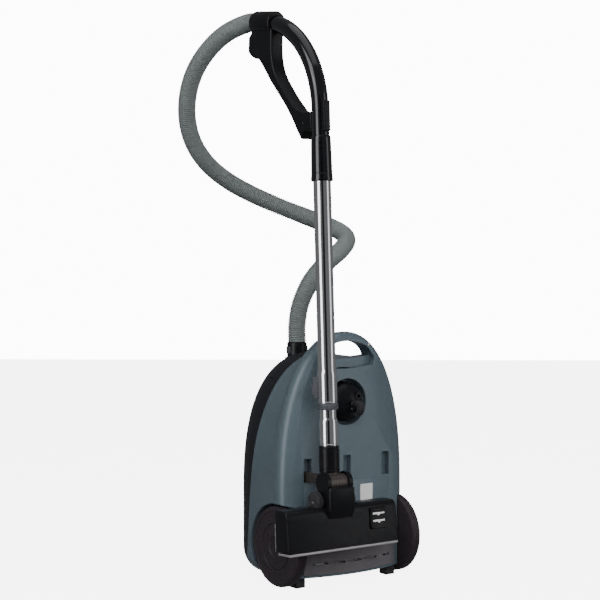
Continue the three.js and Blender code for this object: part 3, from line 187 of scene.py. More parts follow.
def rgba(red: float, green: float, blue: float, scale: float = 1.0) -> tuple[float, float, float, float]:
    """A linear colour from 0-255 screen values."""
    def straight(value: float) -> float:
        share = min(max(value * scale / 255, 0.0), 1.0)
        return share / 12.92 if share <= 0.04045 else ((share + 0.055) / 1.055) ** 2.4
    return straight(red), straight(green), straight(blue), 1.0


def grey(value: float) -> tuple[float, float, float, float]:
    """A linear grey."""
    return value, value, value, 1


# ------------------------------------------------------------------ finishes
@dataclass(frozen=True)
class Moulding:
    """Moulded plastic with a spark-eroded grain and faint handling marks."""

    name: str
    colour: tuple[float, float, float]
    roughness: float = 0.5
    grain: float = 0.0009
    depth: float = 0.00004
    flake: float = 0.0
    coat: float = 0.0
    metal: float = 0.0
    gloss: float = 0.3

    def make(self) -> bpy.types.Material:
        """Builds the material: colour cloud, flakes, scuffs and grain."""
        g = Graph(self.name)
        cloud = g.noise(0.09, 2.0)
        scuff = g.ramp(g.noise(0.012, 6.0), 0.50, 0.72)
        tint = g.mix(cloud, rgba(*self.colour, scale=0.93), rgba(*self.colour, scale=1.06))
        if self.flake:
            spark = g.ramp(g.noise(0.0007, 1.0), 0.58, 0.74)
            tint = g.mix(spark * self.flake, tint, rgba(*self.colour, scale=1.55))
        tint = g.mix(scuff * 0.10, tint, rgba(*self.colour, scale=1.25))
        rough = scuff * 0.10 + cloud * 0.05 + (self.roughness - 0.03)
        return g.finish({"Base Color": tint, "Roughness": rough, "Metallic": self.metal,
                         "Specular IOR Level": self.gloss, "Coat Weight": self.coat, "Coat Roughness": 0.12},
                        g.noise(self.grain, 4.0), self.depth, 0.6)


@dataclass(frozen=True)
class Chromed:
    """Chrome plate on a drawn tube: bright, with hairlines along the tube."""

    name: str
    tone: float = 0.80
    roughness: float = 0.07

    def make(self) -> bpy.types.Material:
        """Builds the material: hairlines, fingermarks and a faint draw pattern."""
        g = Graph(self.name)
        lines = g.noise(0.0006, 3.0, g.place((1, 1, 0.02)))
        prints = g.ramp(g.noise(0.03, 5.0), 0.52, 0.75)
        tint = g.mix(prints, grey(self.tone), grey(self.tone * 0.94))
        rough = lines * 0.05 + prints * 0.05 + (self.roughness - 0.02)
        return g.finish({"Base Color": tint, "Roughness": rough, "Metallic": 1.0}, lines, 0.00001, 0.15)


@dataclass(frozen=True)
class BareSteel:
    """Machined or rolled steel with directional lines."""

    name: str
    tone: float = 0.52
    roughness: float = 0.32

    def make(self) -> bpy.types.Material:
        """Builds the material: rolling lines and dull patches."""
        g = Graph(self.name)
        lines = g.noise(0.0008, 4.0, g.place((0.03, 1, 1)))
        patch = g.noise(0.02, 3.0)
        tint = g.mix(patch, grey(self.tone * 0.9), grey(self.tone * 1.08))
        return g.finish({"Base Color": tint, "Roughness": lines * 0.16 + (self.roughness - 0.06),
                         "Metallic": 1.0}, lines, 0.00003, 0.4)


@dataclass(frozen=True)
class SoftRubber:
    """Matt rubber with a dusty bloom."""

    name: str
    colour: tuple[float, float, float] = (38, 38, 40)

    def make(self) -> bpy.types.Material:
        """Builds the material: bloom, pits and fine dust."""
        g = Graph(self.name)
        bloom = g.ramp(g.noise(0.008, 5.0), 0.42, 0.75)
        tint = g.mix(bloom, rgba(*self.colour), rgba(*self.colour, scale=1.5))
        return g.finish({"Base Color": tint, "Roughness": bloom * 0.12 + 0.72},
                        g.noise(0.0006, 5.0), 0.00006, 0.6)


@dataclass(frozen=True)
class Fibre:
    """Fleece, foam or bristle: a mat of crossing fibres."""

    name: str
    colour: tuple[float, float, float]
    size: float = 0.0012
    stretch: tuple[float, float, float] = (1, 1, 1)

    def make(self) -> bpy.types.Material:
        """Builds the material: two crossed layers of fibre."""
        g = Graph(self.name)
        one = g.noise(self.size, 6.0, g.place(self.stretch))
        two = g.noise(self.size * 1.7, 4.0, g.place(self.stretch[::-1], (0.6, 0.4, 0.9)))
        mat = one * 0.6 + two * 0.4
        tint = g.mix(g.ramp(mat, 0.3, 0.7), rgba(*self.colour, scale=0.72), rgba(*self.colour, scale=1.12))
        return g.finish({"Base Color": tint, "Roughness": 0.94}, mat, 0.0003, 0.8)


@dataclass(frozen=True)
class Board:
    """Laminate circuit board with copper tracks under green lacquer."""

    name: str

    def make(self) -> bpy.types.Material:
        """Builds the material: lacquer with lighter tracks."""
        g = Graph(self.name)
        edge = g.node("ShaderNodeTexVoronoi", {"feature": "DISTANCE_TO_EDGE"}, {
            "Vector": g.place(), "Scale": 120.0})
        line = 1 - g.ramp(edge, 0.02, 0.06)
        tint = g.mix(line * 0.7, rgba(46, 92, 62), rgba(104, 142, 92))
        return g.finish({"Base Color": tint, "Roughness": 0.38}, line, 0.00005, 0.5)


class Finish(Enum):
    """The finishes of the cleaner, by material slot."""

    CASING_SLATE = Moulding("casing_slate", (90, 104, 112), 0.32, 0.0008, 0.00002, 0.18, 0.15, 0.1)
    COVER_DARK = Moulding("cover_dark", (30, 31, 35), 0.40, 0.0009, 0.00004, 0.03, 0.0, 0.0, 0.2)
    TRIM_BLACK = Moulding("trim_black", (14, 14, 17), 0.34, 0.0008, 0.00003)
    GLOSS_BLACK = Moulding("gloss_black", (12, 12, 16), 0.15, 0.0015, 0.00001, 0.0, 0.8)
    WHEEL_DARK = Moulding("wheel_dark", (50, 44, 48), 0.42, 0.0009, 0.00006)
    PANEL_GREY = Moulding("panel_grey", (104, 100, 104), 0.48, 0.0008, 0.00006)
    TUBE_CHROME = Chromed("tube_chrome")
    PLAIN_STEEL = BareSteel("plain_steel")
    STRIP_SILVER = Moulding("strip_silver", (170, 166, 170), 0.36, 0.0009, 0.00002, 0.3, 0.2, 0.4)
    FITTING_GREY = Moulding("fitting_grey", (82, 84, 90), 0.46, 0.0010, 0.00005, 0.05, 0.0, 0.1)
    HOSE_GREY = Moulding("hose_grey", (120, 127, 126), 0.42, 0.0011, 0.00004)
    SOFT_RUBBER = SoftRubber("soft_rubber")
    BAG_FLEECE = Fibre("bag_fleece", (216, 207, 184), 0.0016)
    FILTER_FOAM = Fibre("filter_foam", (178, 181, 178), 0.0022)
    LABEL_WHITE = Moulding("label_white", (252, 252, 250), 0.46, 0.0005, 0.00002)
    BOARD_GREEN = Board("board_green")
    BRISTLE_DARK = Fibre("bristle_dark", (54, 54, 56), 0.0006, (1, 0.06, 1))
    MARK_WHITE = Moulding("mark_white", (250, 250, 248), 0.42, 0.0006, 0.00003)
    KNUCKLE_BRUSHED = Moulding("knuckle_brushed", (88, 82, 80), 0.34, 0.0012, 0.00003, 0.3, 0.0, 0.6)

    def material(self) -> bpy.types.Material:
        """The finish as a material, made once."""
        return bpy.data.materials.get(f"{self.value.name}_finish") or self.value.make()

    @staticmethod
    def of_node(node: str) -> "Finish":
        """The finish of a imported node's slot."""
        return Finish[SLOT_OF[node].upper()]


# ------------------------------------------------------------------ shaping
class Shape:
    """A bmesh on its way to becoming a piece."""

    def __init__(self) -> None:
        """Starts empty."""
        self.bm = bmesh.new()

    @staticmethod
    def of_node(node: str) -> "Shape":
        """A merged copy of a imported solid's mesh."""
        shape = Shape()
        shape.bm.from_mesh(frame["nodes"][node].data)
        bmesh.ops.remove_doubles(shape.bm, verts=shape.bm.verts, dist=WELD)
        bmesh.ops.dissolve_limit(shape.bm, angle_limit=math.radians(0.4), verts=shape.bm.verts,
                                 edges=shape.bm.edges)
        return shape

    @staticmethod
    def spun(profile: Sequence[tuple[float, float]], steps: int = 96, closed: bool = False) -> "Shape":
        """Turns a profile of (radius, height) in millimetres about Z.

        Args:
            profile: the points, from one end to the other.
            steps: how many steps make the full turn.
            closed: whether the profile closes on itself, as a ring's does.

        Returns:
            The turned shape.
        """
        shape = Shape()
        verts = [shape.bm.verts.new((r * MM, 0, z * MM)) for r, z in profile]
        pairs = list(zip(verts, verts[1:])) + ([(verts[-1], verts[0])] if closed else [])
        edges = [shape.bm.edges.new(pair) for pair in pairs]
        bmesh.ops.spin(shape.bm, geom=verts + edges, cent=(0, 0, 0), axis=(0, 0, 1), dvec=(0, 0, 0),
                       angle=2 * math.pi, steps=steps, use_merge=True, use_duplicate=False)
        bmesh.ops.remove_doubles(shape.bm, verts=shape.bm.verts, dist=1e-6)
        bmesh.ops.recalc_face_normals(shape.bm, faces=shape.bm.faces)
        return shape

    @staticmethod
    def block(low: Sequence[float], high: Sequence[float], bevel: float = 0.0, segments: int = 3) -> "Shape":
        """A box between two corners in millimetres.

        Args:
            low: the corner with the lower values.
            high: the corner with the higher values.
            bevel: how far its edges are rounded, in millimetres.
            segments: steps across a rounded edge.

        Returns:
            The box.
        """
        shape = Shape()
        size = [(b - a) * MM for a, b in zip(low, high)]
        middle = [(a + b) / 2 * MM for a, b in zip(low, high)]
        bmesh.ops.create_cube(shape.bm, size=1.0,
                              matrix=Matrix.Translation(middle) @ Matrix.Diagonal((*size, 1)))
        return shape.rounded(bevel, segments) if bevel else shape

    @staticmethod
    def drawn(outline: Sequence[tuple[float, float]], depth: float, bevel: float = 0.0,
              segments: int = 3) -> "Shape":
        """A flat outline in (x, z) millimetres, pushed along +Y.

        Args:
            outline: its corners in order.
            depth: how far it is pushed, in millimetres.
            bevel: how far both rims are rounded, in millimetres.
            segments: steps across a rounded rim.

        Returns:
            The slab.
        """
        shape = Shape()
        verts = [shape.bm.verts.new((x * MM, 0, z * MM)) for x, z in outline]
        face = shape.bm.faces.new(verts)
        grown = bmesh.ops.extrude_face_region(shape.bm, geom=[face])
        moved = [v for v in grown["geom"] if isinstance(v, bmesh.types.BMVert)]
        bmesh.ops.translate(shape.bm, verts=moved, vec=(0, depth * MM, 0))
        bmesh.ops.recalc_face_normals(shape.bm, faces=shape.bm.faces)
        if bevel:
            shape._bevelled([e for e in shape.bm.edges if abs(e.verts[0].co.y - e.verts[1].co.y) < 1e-9],
                            bevel, segments)
        return shape

    def _bevelled(self, edges: list[Any], offset: float, segments: int) -> None:
        """Rounds the edges by `offset` millimetres."""
        bmesh.ops.bevel(self.bm, geom=edges, offset=offset * MM, offset_type="OFFSET", segments=segments,
                        profile=0.5, affect="EDGES", clamp_overlap=True, material=-1)

    def rounded(self, offset: float, segments: int = 3, angle: float = 30.0) -> "Shape":
        """Bevels every edge sharper than `angle` degrees by `offset` millimetres."""
        limit = math.radians(angle)
        edges = [e for e in self.bm.edges if e.is_manifold and e.calc_face_angle(0) > limit]
        self._bevelled(edges, offset, segments)
        return self

    def moved(self, matrix: Matrix) -> "Shape":
        """Places the shape by a matrix in metres."""
        bmesh.ops.transform(self.bm, matrix=matrix, verts=self.bm.verts)
        if matrix.to_3x3().determinant() < 0:
            bmesh.ops.reverse_faces(self.bm, faces=self.bm.faces)
        return self

    def mesh_object(self, name: str) -> bpy.types.Object:
        """An object that holds the shape."""
        mesh = bpy.data.meshes.new(name)
        self.bm.to_mesh(mesh)
        self.bm.free()
        made = bpy.data.objects.new(name, mesh)
        bpy.context.scene.collection.objects.link(made)
        return made

    @staticmethod
    def discard(spare: bpy.types.Object) -> None:
        """Removes an object and its mesh."""
        mesh = spare.data
        bpy.data.objects.remove(spare)
        bpy.data.meshes.remove(mesh)

    def carved(self, *cutters: "Shape", operation: str = "DIFFERENCE") -> "Shape":
        """Cuts, joins or intersects the shape with each cutter in turn.

        Args:
            cutters: the other shapes, which are used up.
            operation: DIFFERENCE, UNION or INTERSECT.

        Returns:
            The new shape.
        """
        body = self.mesh_object("work")
        for number, cutter in enumerate(cutters):
            tool = cutter.mesh_object(f"cutter_{number}")
            change = body.modifiers.new("carve", "BOOLEAN")
            change.operation = operation
            change.solver = "MANIFOLD"
            change.object = tool
            baked = bpy.data.meshes.new_from_object(
                body.evaluated_get(bpy.context.evaluated_depsgraph_get()))
            body.modifiers.clear()
            old = body.data
            body.data = baked
            bpy.data.meshes.remove(old)
            Shape.discard(tool)
        result = Shape()
        result.bm.from_mesh(body.data)
        Shape.discard(body)
        return result


class Maker:
    """Turns shapes into finished pieces that ride on a body."""

    @staticmethod
    def smooth(piece: bpy.types.Object, angle: float = SHARP_DEGREES) -> None:
        """Shades a mesh smooth, with edges above `angle` degrees kept sharp."""
        bm = bmesh.new()
        bm.from_mesh(piece.data)
        for face in bm.faces:
            face.smooth = True
        for edge in bm.edges:
            edge.smooth = edge.is_manifold and edge.calc_face_angle(0) < math.radians(angle)
        bm.to_mesh(piece.data)
        bm.free()

    @staticmethod
    def piece(name: str, shape: Shape, finish: Finish, body: str, replaces: Sequence[str] = (),
              angle: float = SHARP_DEGREES, bevel: float = 0.0) -> bpy.types.Object:
        """Makes one piece.

        Args:
            name: its name.
            shape: its shape in place, in metres.
            finish: its finish.
            body: the body it rides on.
            replaces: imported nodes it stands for.
            angle: edges sharper than this stay sharp.
            bevel: millimetres by which sharp edges are rounded when it is shown.

        Returns:
            The piece.
        """
        made = shape.mesh_object(name)
        Maker.smooth(made, angle)
        made.data.materials.append(finish.material())
        if bevel:
            soft = made.modifiers.new("soft_edges", "BEVEL")
            soft.width = bevel * MM
            soft.segments = 2
            soft.limit_method = "ANGLE"
            soft.angle_limit = math.radians(SOFT_EDGE_DEGREES)
            soft.harden_normals = True
        if replaces:
            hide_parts(*replaces)
        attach(made, body)
        LOG.info("%s rides on %s", name, body)
        return made

    @staticmethod
    def stand_in(node: str, shape: Shape, finish: Finish, angle: float = SHARP_DEGREES,
                 bevel: float = 0.0) -> bpy.types.Object:
        """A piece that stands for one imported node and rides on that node's body."""
        return Maker.piece(f"{node}_fine", shape, finish, BODY_OF[node], (node,), angle, bevel)

    @staticmethod
    def refine(node: str, bevel: float) -> bpy.types.Object:
        """A smooth, soft-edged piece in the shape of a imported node."""
        return Maker.stand_in(node, Shape.of_node(node), Finish.of_node(node), bevel=bevel)

    @staticmethod
    def dress(node: str) -> None:
        """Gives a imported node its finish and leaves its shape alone."""
        shown = frame["nodes"][node]
        shown.data.materials.clear()
        shown.data.materials.append(Finish.of_node(node).material())


# ------------------------------------------------------------------ studio
@dataclass
class Studio:
    """Camera, soft lights, pale floor and the cards that the chrome reflects."""

    eye: tuple[float, float, float] = (-1.9125, -2.631, 0.709)
    aim: tuple[float, float, float] = (-0.0797, -0.048, 0.5575)
    lens: float = 99.48
    sensor: float = 36.0
    reflected: tuple[tuple[Any, ...], ...] = (
        ("left_strip", (-2.7, -0.3, 0.9), 1.1, 0.9, 3.6),
        ("right_strip", (1.9, -2.5, 0.9), 1.1, 0.9, 1.0),
        ("dark_card", (-2.05, -2.95, 0.9), 1.5, 0.02, 0.0))
    boxes: tuple[tuple[Any, ...], ...] = (
        ("left_box", (-2.6, -0.4, 2.0), (0, 0, 0.6), (1.6, 2.4), 38, True),
        ("right_box", (2.2, -2.4, 2.0), (0, 0, 0.5), (1.4, 2.2), 20, False),
        ("front_box", (-1.2, -3.2, 1.7), (0, 0, 0.4), (2.0, 2.0), 75, False),
        ("top_box", (0, -0.3, 3.2), (0, 0, 0.4), (2.4, 2.4), 15, True))

    def camera(self) -> None:
        """Places the camera."""
        data = bpy.data.cameras.new("studio_camera")
        data.lens = self.lens
        data.sensor_width = self.sensor
        made = bpy.data.objects.new("studio_camera", data)
        bpy.context.scene.collection.objects.link(made)
        made.location = self.eye
        look = Vector(self.aim) - Vector(self.eye)
        made.rotation_euler = look.to_track_quat("-Z", "Y").to_euler()
        bpy.context.scene.camera = made

    def light(self, name: str, place: Sequence[float], aim: Sequence[float], size: tuple[float, float],
              watts: float, mirrored: bool) -> None:
        """Hangs one soft box.

        Args:
            name: its name.
            place: where it hangs, in metres.
            aim: the point that it faces.
            size: its width and height in metres.
            watts: its power.
            mirrored: whether it shows in reflections.
        """
        data = bpy.data.lights.new(name, "AREA")
        data.shape = "RECTANGLE"
        data.size, data.size_y = size
        data.energy = watts
        made = bpy.data.objects.new(name, data)
        bpy.context.scene.collection.objects.link(made)
        made.location = place
        made.rotation_euler = (Vector(aim) - Vector(place)).to_track_quat("-Z", "Y").to_euler()
        made.visible_glossy = mirrored

    def card(self, name: str, centre: Sequence[float], facing: Sequence[float], size: tuple[float, float],
             shade: float, glow: float) -> bpy.types.Object:
        """Stands a flat card that is only part of the studio.

        Args:
            name: its name.
            centre: its middle, in metres.
            facing: the point that it faces.
            size: its width and height in metres.
            shade: how light it is, 0 to 1.
            glow: how strongly it shines by itself.

        Returns:
            The card.
        """
        shape = Shape()
        turn = (Vector(facing) - Vector(centre)).to_track_quat("Z", "Y").to_matrix().to_4x4()
        bmesh.ops.create_grid(shape.bm, x_segments=1, y_segments=1, size=0.5,
                              matrix=Matrix.Translation(centre) @ turn @ Matrix.Diagonal((*size, 1, 1)))
        made = shape.mesh_object(name)
        g = Graph(f"{name}_paper")
        tooth = g.noise(0.004, 4.0)
        tint = g.mix(tooth, grey(shade * 0.98), grey(shade))
        made.data.materials.append(g.finish({
            "Base Color": tint, "Roughness": 0.9, "Emission Color": (1, 1, 1, 1),
            "Emission Strength": glow}, tooth, 0.0001, 0.1))
        return made

    def build(self) -> None:
        """Sets the floor, backdrop, lights and world."""
        floor = self.card("floor", (0, 0, -0.0006), (0, 0, 5), (14, 14), 0.9, 6.0)
        backdrop = self.card("backdrop", (2.9, 3.9, 2.0), (0, 0, 1.2), (14, 10), 0.95, 12.0)
        for sheet in (floor, backdrop):
            sheet.visible_diffuse = False
            sheet.visible_glossy = False
        for name, centre, width, shade, glow in self.reflected:
            card = self.card(name, centre, (0, 0, 0.7), (width, 2.6), shade, glow)
            card.visible_camera = False
            card.visible_shadow = False
            card.visible_diffuse = False
        for row in self.boxes:
            self.light(*row)
        world = bpy.data.worlds.new("studio_world")
        world.use_nodes = True
        sky = world.node_tree.nodes["Background"]
        sky.inputs["Color"].default_value = (0.94, 0.96, 1.0, 1)
        sky.inputs["Strength"].default_value = 0.16
        bpy.context.scene.world = world
        LOG.info("studio built")


# ------------------------------------------------------------------ hose
@dataclass
class Hose:
    """The free ribbed hose, in three lengths."""

    radius: float = 19.0
    valley: float = 16.6
    pitch: float = 4.6
    sides: int = 28
    steps: int = 24
    route: tuple[tuple[float, float, float], ...] = (
        (0, 170, 462.4), (0, 170, 498), (6, 166, 540), (28, 162, 584), (72, 168, 622), (126, 190, 648),
        (170, 228, 668), (194, 280, 684), (190, 336, 702), (162, 384, 722), (118, 418, 744), (66, 438, 768),
        (12, 448, 796), (-38, 448, 830), (-78, 438, 870), (-106, 420, 916), (-122, 394, 966),
        (-128, 358, 1014), (-124, 312, 1056), (-112, 260, 1088), (-95, 202.5, 1104.5), (-95, 172.98, 1101.71))

    def line(self) -> list[Vector]:
        """The centreline as close points in metres, by centripetal Catmull-Rom."""
        pts = [(Vector(point) + SHIFT) * MM for point in self.route]
        pts = [pts[0] * 2 - pts[1], *pts, pts[-1] * 2 - pts[-2]]
        out: list[Vector] = []
        for a, b, c, d in zip(pts, pts[1:], pts[2:], pts[3:]):
            t1 = (b - a).length ** 0.5
            t2 = t1 + (c - b).length ** 0.5
            t3 = t2 + (d - c).length ** 0.5
            for i in range(self.steps):
                t = t1 + (t2 - t1) * i / self.steps
                p = a.lerp(b, t / t1)
                q = b.lerp(c, (t - t1) / (t2 - t1))
                r = c.lerp(d, (t - t2) / (t3 - t2))
                u = p.lerp(q, t / t2)
                v = q.lerp(r, (t - t1) / (t3 - t1))
                out.append(u.lerp(v, (t - t1) / (t2 - t1)))
        return [*out, pts[-2].copy()]

    @staticmethod
    def spaced(line: list[Vector], step: float) -> list[Vector]:
        """Points at even distances along a line.

        Args:
            line: the line's own points in metres.
            step: the distance between two points.

        Returns:
            The points.
        """
        out = [line[0].copy()]
        left = step
        for a, b in zip(line, line[1:]):
            run = (b - a).length
            done = 0.0
            while run - done >= left:
                done += left
                out.append(a.lerp(b, done / run))
                left = step
            left -= run - done
        return out

    def tube(self, name: str, points: list[Vector], first: int) -> bpy.types.Object:
        """Sweeps a ribbed section along the points; every fourth ring is a valley.

        Args:
            name: the piece's name.
            points: its centreline in metres.
            first: the number of its first ring along the whole hose.

        Returns:
            The piece.
        """
        shape = Shape()
        heights = (self.valley, self.radius - 0.5, self.radius, self.radius - 0.5)
        up = Vector((0, 0, 1)) if abs((points[1] - points[0]).normalized().z) < 0.9 else Vector((0, 1, 0))
        across = (points[1] - points[0]).normalized().cross(up).normalized()
        before: list[Any] = []
        for number, point in enumerate(points):
            ahead = points[min(number + 1, len(points) - 1)]
            behind = points[max(number - 1, 0)]
            along = (ahead - behind).normalized()
            across = (across - along * across.dot(along)).normalized()
            frame_at = Matrix((across, along.cross(across), along)).transposed().to_4x4()
            ring = bmesh.ops.create_circle(
                shape.bm, segments=self.sides, radius=heights[(number + first) % 4] * MM,
                matrix=Matrix.Translation(point) @ frame_at)["verts"]
            edges = [e for v in ring for e in v.link_edges if e.other_vert(v) in ring]
            loop = list(dict.fromkeys(edges))
            if before:
                bmesh.ops.bridge_loops(shape.bm, edges=before + loop)
            before = loop
        bmesh.ops.recalc_face_normals(shape.bm, faces=shape.bm.faces)
        made = shape.mesh_object(name)
        for polygon in made.data.polygons:
            polygon.use_smooth = True
        made.data.materials.append(Finish.HOSE_GREY.material())
        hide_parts("hose")
        return made

    def build(self) -> None:
        points = self.spaced(self.line(), self.pitch * MM / 4)
        third = len(points) // 3 // 4 * 4
        spans = (("hose_low", 0, third, "canister", "neck"),
                 ("hose_middle", third, 2 * third, "neck", "wand_lower"),
                 ("hose_high", 2 * third, len(points) - 1, "wand_lower", "wand_upper"))
        for name, start, stop, low, high in spans:
            run = points[start:stop + 1]
            made = self.tube(name, run, start)
            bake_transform(made)
            length = sum((b - a).length for a, b in zip(run, run[1:]))
            ([tuple(p) for p in run[::2]] + (
                        [tuple(run[-1])] if len(run) % 2 == 0 else []))
            LOG.info("%s: %.3f m, blends %s to %s", name, length, low, high)


# ------------------------------------------------------------------ casing
def curve_to(start: Sequence[float], control: Sequence[float], end: Sequence[float],
             steps: int = 14) -> list[tuple[float, float]]:
    """Points of a quadratic curve.

    Args:
        start: where it starts; this point is left out.
        control: the point that draws it.
        end: where it ends; this point is kept.
        steps: how many points are given.

    Returns:
        The points.
    """
    out = []
    for i in range(1, steps + 1):
        t = i / steps
        out.append(tuple((1 - t) ** 2 * a + 2 * t * (1 - t) * b + t * t * c
                         for a, b, c in zip(start, control, end)))
    return out


def bar(axis: str, u: float, v: float, start: float, stop: float, radius: float,
        end_radius: float | None = None, sides: int = 64) -> Shape:
    """A round bar along one axis, in millimetres.

    Args:
        axis: x, y or z.
        u: its place on the first of the other two axes.
        v: its place on the second.
        start: where it starts along the axis.
        stop: where it ends.
        radius: its radius at the start.
        end_radius: its radius at the end, when that is another.
        sides: how many flats make it round.

    Returns:
        The bar.
    """
    shape = Shape()
    turn = {"x": Matrix.Rotation(math.pi / 2, 4, "Y"), "y": Matrix.Rotation(-math.pi / 2, 4, "X"),
            "z": Matrix.Identity(4)}[axis]
    middle = (start + stop) / 2
    place = {"x": (middle, u, v), "y": (u, middle, v), "z": (u, v, middle)}[axis]
    bmesh.ops.create_cone(
        shape.bm, cap_ends=True, segments=sides, radius1=radius * MM,
        radius2=(radius if end_radius is None else end_radius) * MM, depth=(stop - start) * MM,
        matrix=Matrix.Translation(Vector(place) * MM) @ turn)
    return shape


def lofted(rings: Sequence[Sequence[Vector]]) -> Shape:
    """A closed skin through rings of points.

    Args:
        rings: the rings in order, each of the same number of points in millimetres.

    Returns:
        The solid.
    """
    shape = Shape()
    before: list[Any] = []
    for number, ring in enumerate(rings):
        verts = [shape.bm.verts.new(point * MM) for point in ring]
        edges = [shape.bm.edges.new((a, b)) for a, b in zip(verts, verts[1:] + verts[:1])]
        if before:
            bmesh.ops.bridge_loops(shape.bm, edges=before + edges)
        if number in (0, len(rings) - 1):
            shape.bm.faces.new(verts)
        before = edges
    bmesh.ops.recalc_face_normals(shape.bm, faces=shape.bm.faces)
    return shape


@dataclass
class Casing:
    """Lower housing, covers, dust lid and exhaust panel. Sizes in millimetres."""

    half_width: float = 150.0
    depth: float = 208.0
    bottom: float = 15.0
    top: float = 447.0
    carry_top: float = 492.0
    middle: float = 215.0
    widest: float = 170.0
    corner: float = 36.0
    wall: float = 3.0
    seam_at_floor: float = 138.0
    seam_slope: float = -0.11
    tail_half: float = 126.0
    tail_bulge: float = 24.0
    tail_top: float = 112.0
    wheel_y: float = 31.0
    wheel_z: float = 80.6
    wheel_radius: float = 78.6
    lid_bottom: float = 168.0
    lid_top: float = 398.0
    hinge_y: float = 197.0
    gap: float = 0.7

    def ring(self, y: float, top: float, narrow: float, lower: float) -> list[Vector]:
        """The outline at one depth.

        Args:
            y: the depth.
            top: the height of the outline's top.
            narrow: how far the sides are drawn in.
            lower: how far the ends are drawn in.

        Returns:
            The points of the outline.
        """
        half: list[tuple[float, float]] = [(0, self.bottom)]
        for i in range(13):
            angle = i / 12 * math.pi / 2
            half.append((self.half_width - self.corner * (1 - math.sin(angle)),
                         self.bottom + self.corner * (1 - math.cos(angle))))
        for i in range(41):
            angle = i / 40 * math.pi / 2
            half.append((self.half_width * max(math.cos(angle), 0.0) ** 0.91,
                         self.widest + (top - self.widest) * math.sin(angle) ** 0.8))
        across = 1 - narrow / self.half_width
        along = 1 - lower / (self.top - self.middle)
        right = [Vector((x * across, y, self.middle + (z - self.middle) * along)) for x, z in half]
        left = [Vector((-p.x, p.y, p.z)) for p in reversed(right[1:-1])]
        return right + left

    def sections(self) -> list[tuple[float, float, float, float]]:
        """Depth, top, side draw and end draw, from the belly to the lid."""
        c = self.carry_top
        out = [(0, c, 26, 7), (1.2, c, 22.6, 5.8), (2.5, c, 19.6, 4.6), (5, c, 15, 3), (8, c, 11, 1.4),
               (11, c, 8.2, 0.5), (14, c, 6, 0), (18, c, 3.8, 0), (22, c, 2.1, 0.3), (26, c, 1, 1),
               (29, c - 2, 0.4, 1.6), (32, c - 5, 0, 3), (44, self.top, 0, 0), (80, self.top, 0, 0)]
        for i in range(21):
            angle = i / 20 * math.pi / 2
            draw = 1 - math.cos(angle)
            out.append((112 + (self.depth - 112) * math.sin(angle), self.top, 92 * draw, 84 * draw))
        return out

    def outer(self) -> Shape:
        """The whole outside as one solid."""
        return lofted([self.ring(*row) for row in self.sections()])

    def inner(self) -> Shape:
        """The space inside the wall."""
        rings = []
        for y, _, narrow, lower in self.sections():
            depth = self.wall + y * (self.depth - 2 * self.wall) / self.depth
            drop = 22 if y < 52 else 0
            rings.append(self.ring(depth, self.top - drop, narrow + self.wall, lower + self.wall))
        return lofted(rings)

    def arc(self, offset: float, half: float, back: bool = False,
            steps: int = 48) -> list[tuple[float, float]]:
        """Plan points (x, y) of the bowed tail.

        Args:
            offset: how far outside the moulded face they lie.
            half: half of their reach across.
            back: whether they run from right to left.
            steps: how many steps they make.

        Returns:
            The points.
        """
        radius = (self.tail_half ** 2 + self.tail_bulge ** 2) / (2 * self.tail_bulge)
        reach = radius + offset
        sweep = math.asin(half / (radius + max(offset, 0)))
        turns = [-sweep + 2 * sweep * i / steps for i in range(steps + 1)]
        points = [(reach * math.sin(t), radius - self.tail_bulge - reach * math.cos(t)) for t in turns]
        return points[::-1] if back else points

    @staticmethod
    def pushed_up(plan: Sequence[tuple[float, float]], low: float, high: float) -> Shape:
        """A plan in (x, y) pushed up from one height to another."""
        return lofted([[Vector((x, y, z)) for x, y in plan] for z in (low, high)])

    def beyond_seam(self, shift: float) -> Shape:
        """Everything on the lid side of the seam."""
        shape = Shape()
        lean = Matrix.Rotation(-math.atan(self.seam_slope), 4, "X")
        bmesh.ops.create_cube(shape.bm, size=1.0, matrix=Matrix.Translation((0, self.seam_at_floor * MM, 0))
                              @ lean @ Matrix.Translation((0, 0.45 + shift * MM, 0))
                              @ Matrix.Diagonal((0.9, 0.9, 1.8, 1)))
        return shape

    def well(self, side: int, radius: float, depth: float) -> Shape:
        """A round space for a wheel."""
        near, far = sorted((side * (self.half_width - depth), side * (self.half_width + 60)))
        return bar("x", self.wheel_y, self.wheel_z, near, far, radius, sides=128)

    def finger_hole(self) -> Shape:
        """The opening under the carrying handle."""
        base, crown = self.top - 4, self.carry_top - 18
        line = [(-64, base), *curve_to((-64, base), (0, base - 8), (64, base)),
                *curve_to((64, base), (50, crown), (0, crown)),
                *curve_to((0, crown), (-50, crown), (-64, base))]
        return Shape.drawn(line[:-1], 99).moved(Matrix.Translation((0, -9 * MM, 0)))

    def finger_scoop(self) -> Shape:
        """The dished space in front of the opening."""
        base = self.top - 28
        line = [(-62, base + 6), *curve_to((-62, base + 6), (0, base - 4), (62, base + 6)),
                *curve_to((62, base + 6), (72, self.top - 8), (62, self.top)), (-62, self.top),
                *curve_to((-62, self.top), (-72, self.top - 8), (-62, base + 6))]
        return Shape.drawn(line[:-1], 17).moved(Matrix.Translation((0, -2 * MM, 0)))

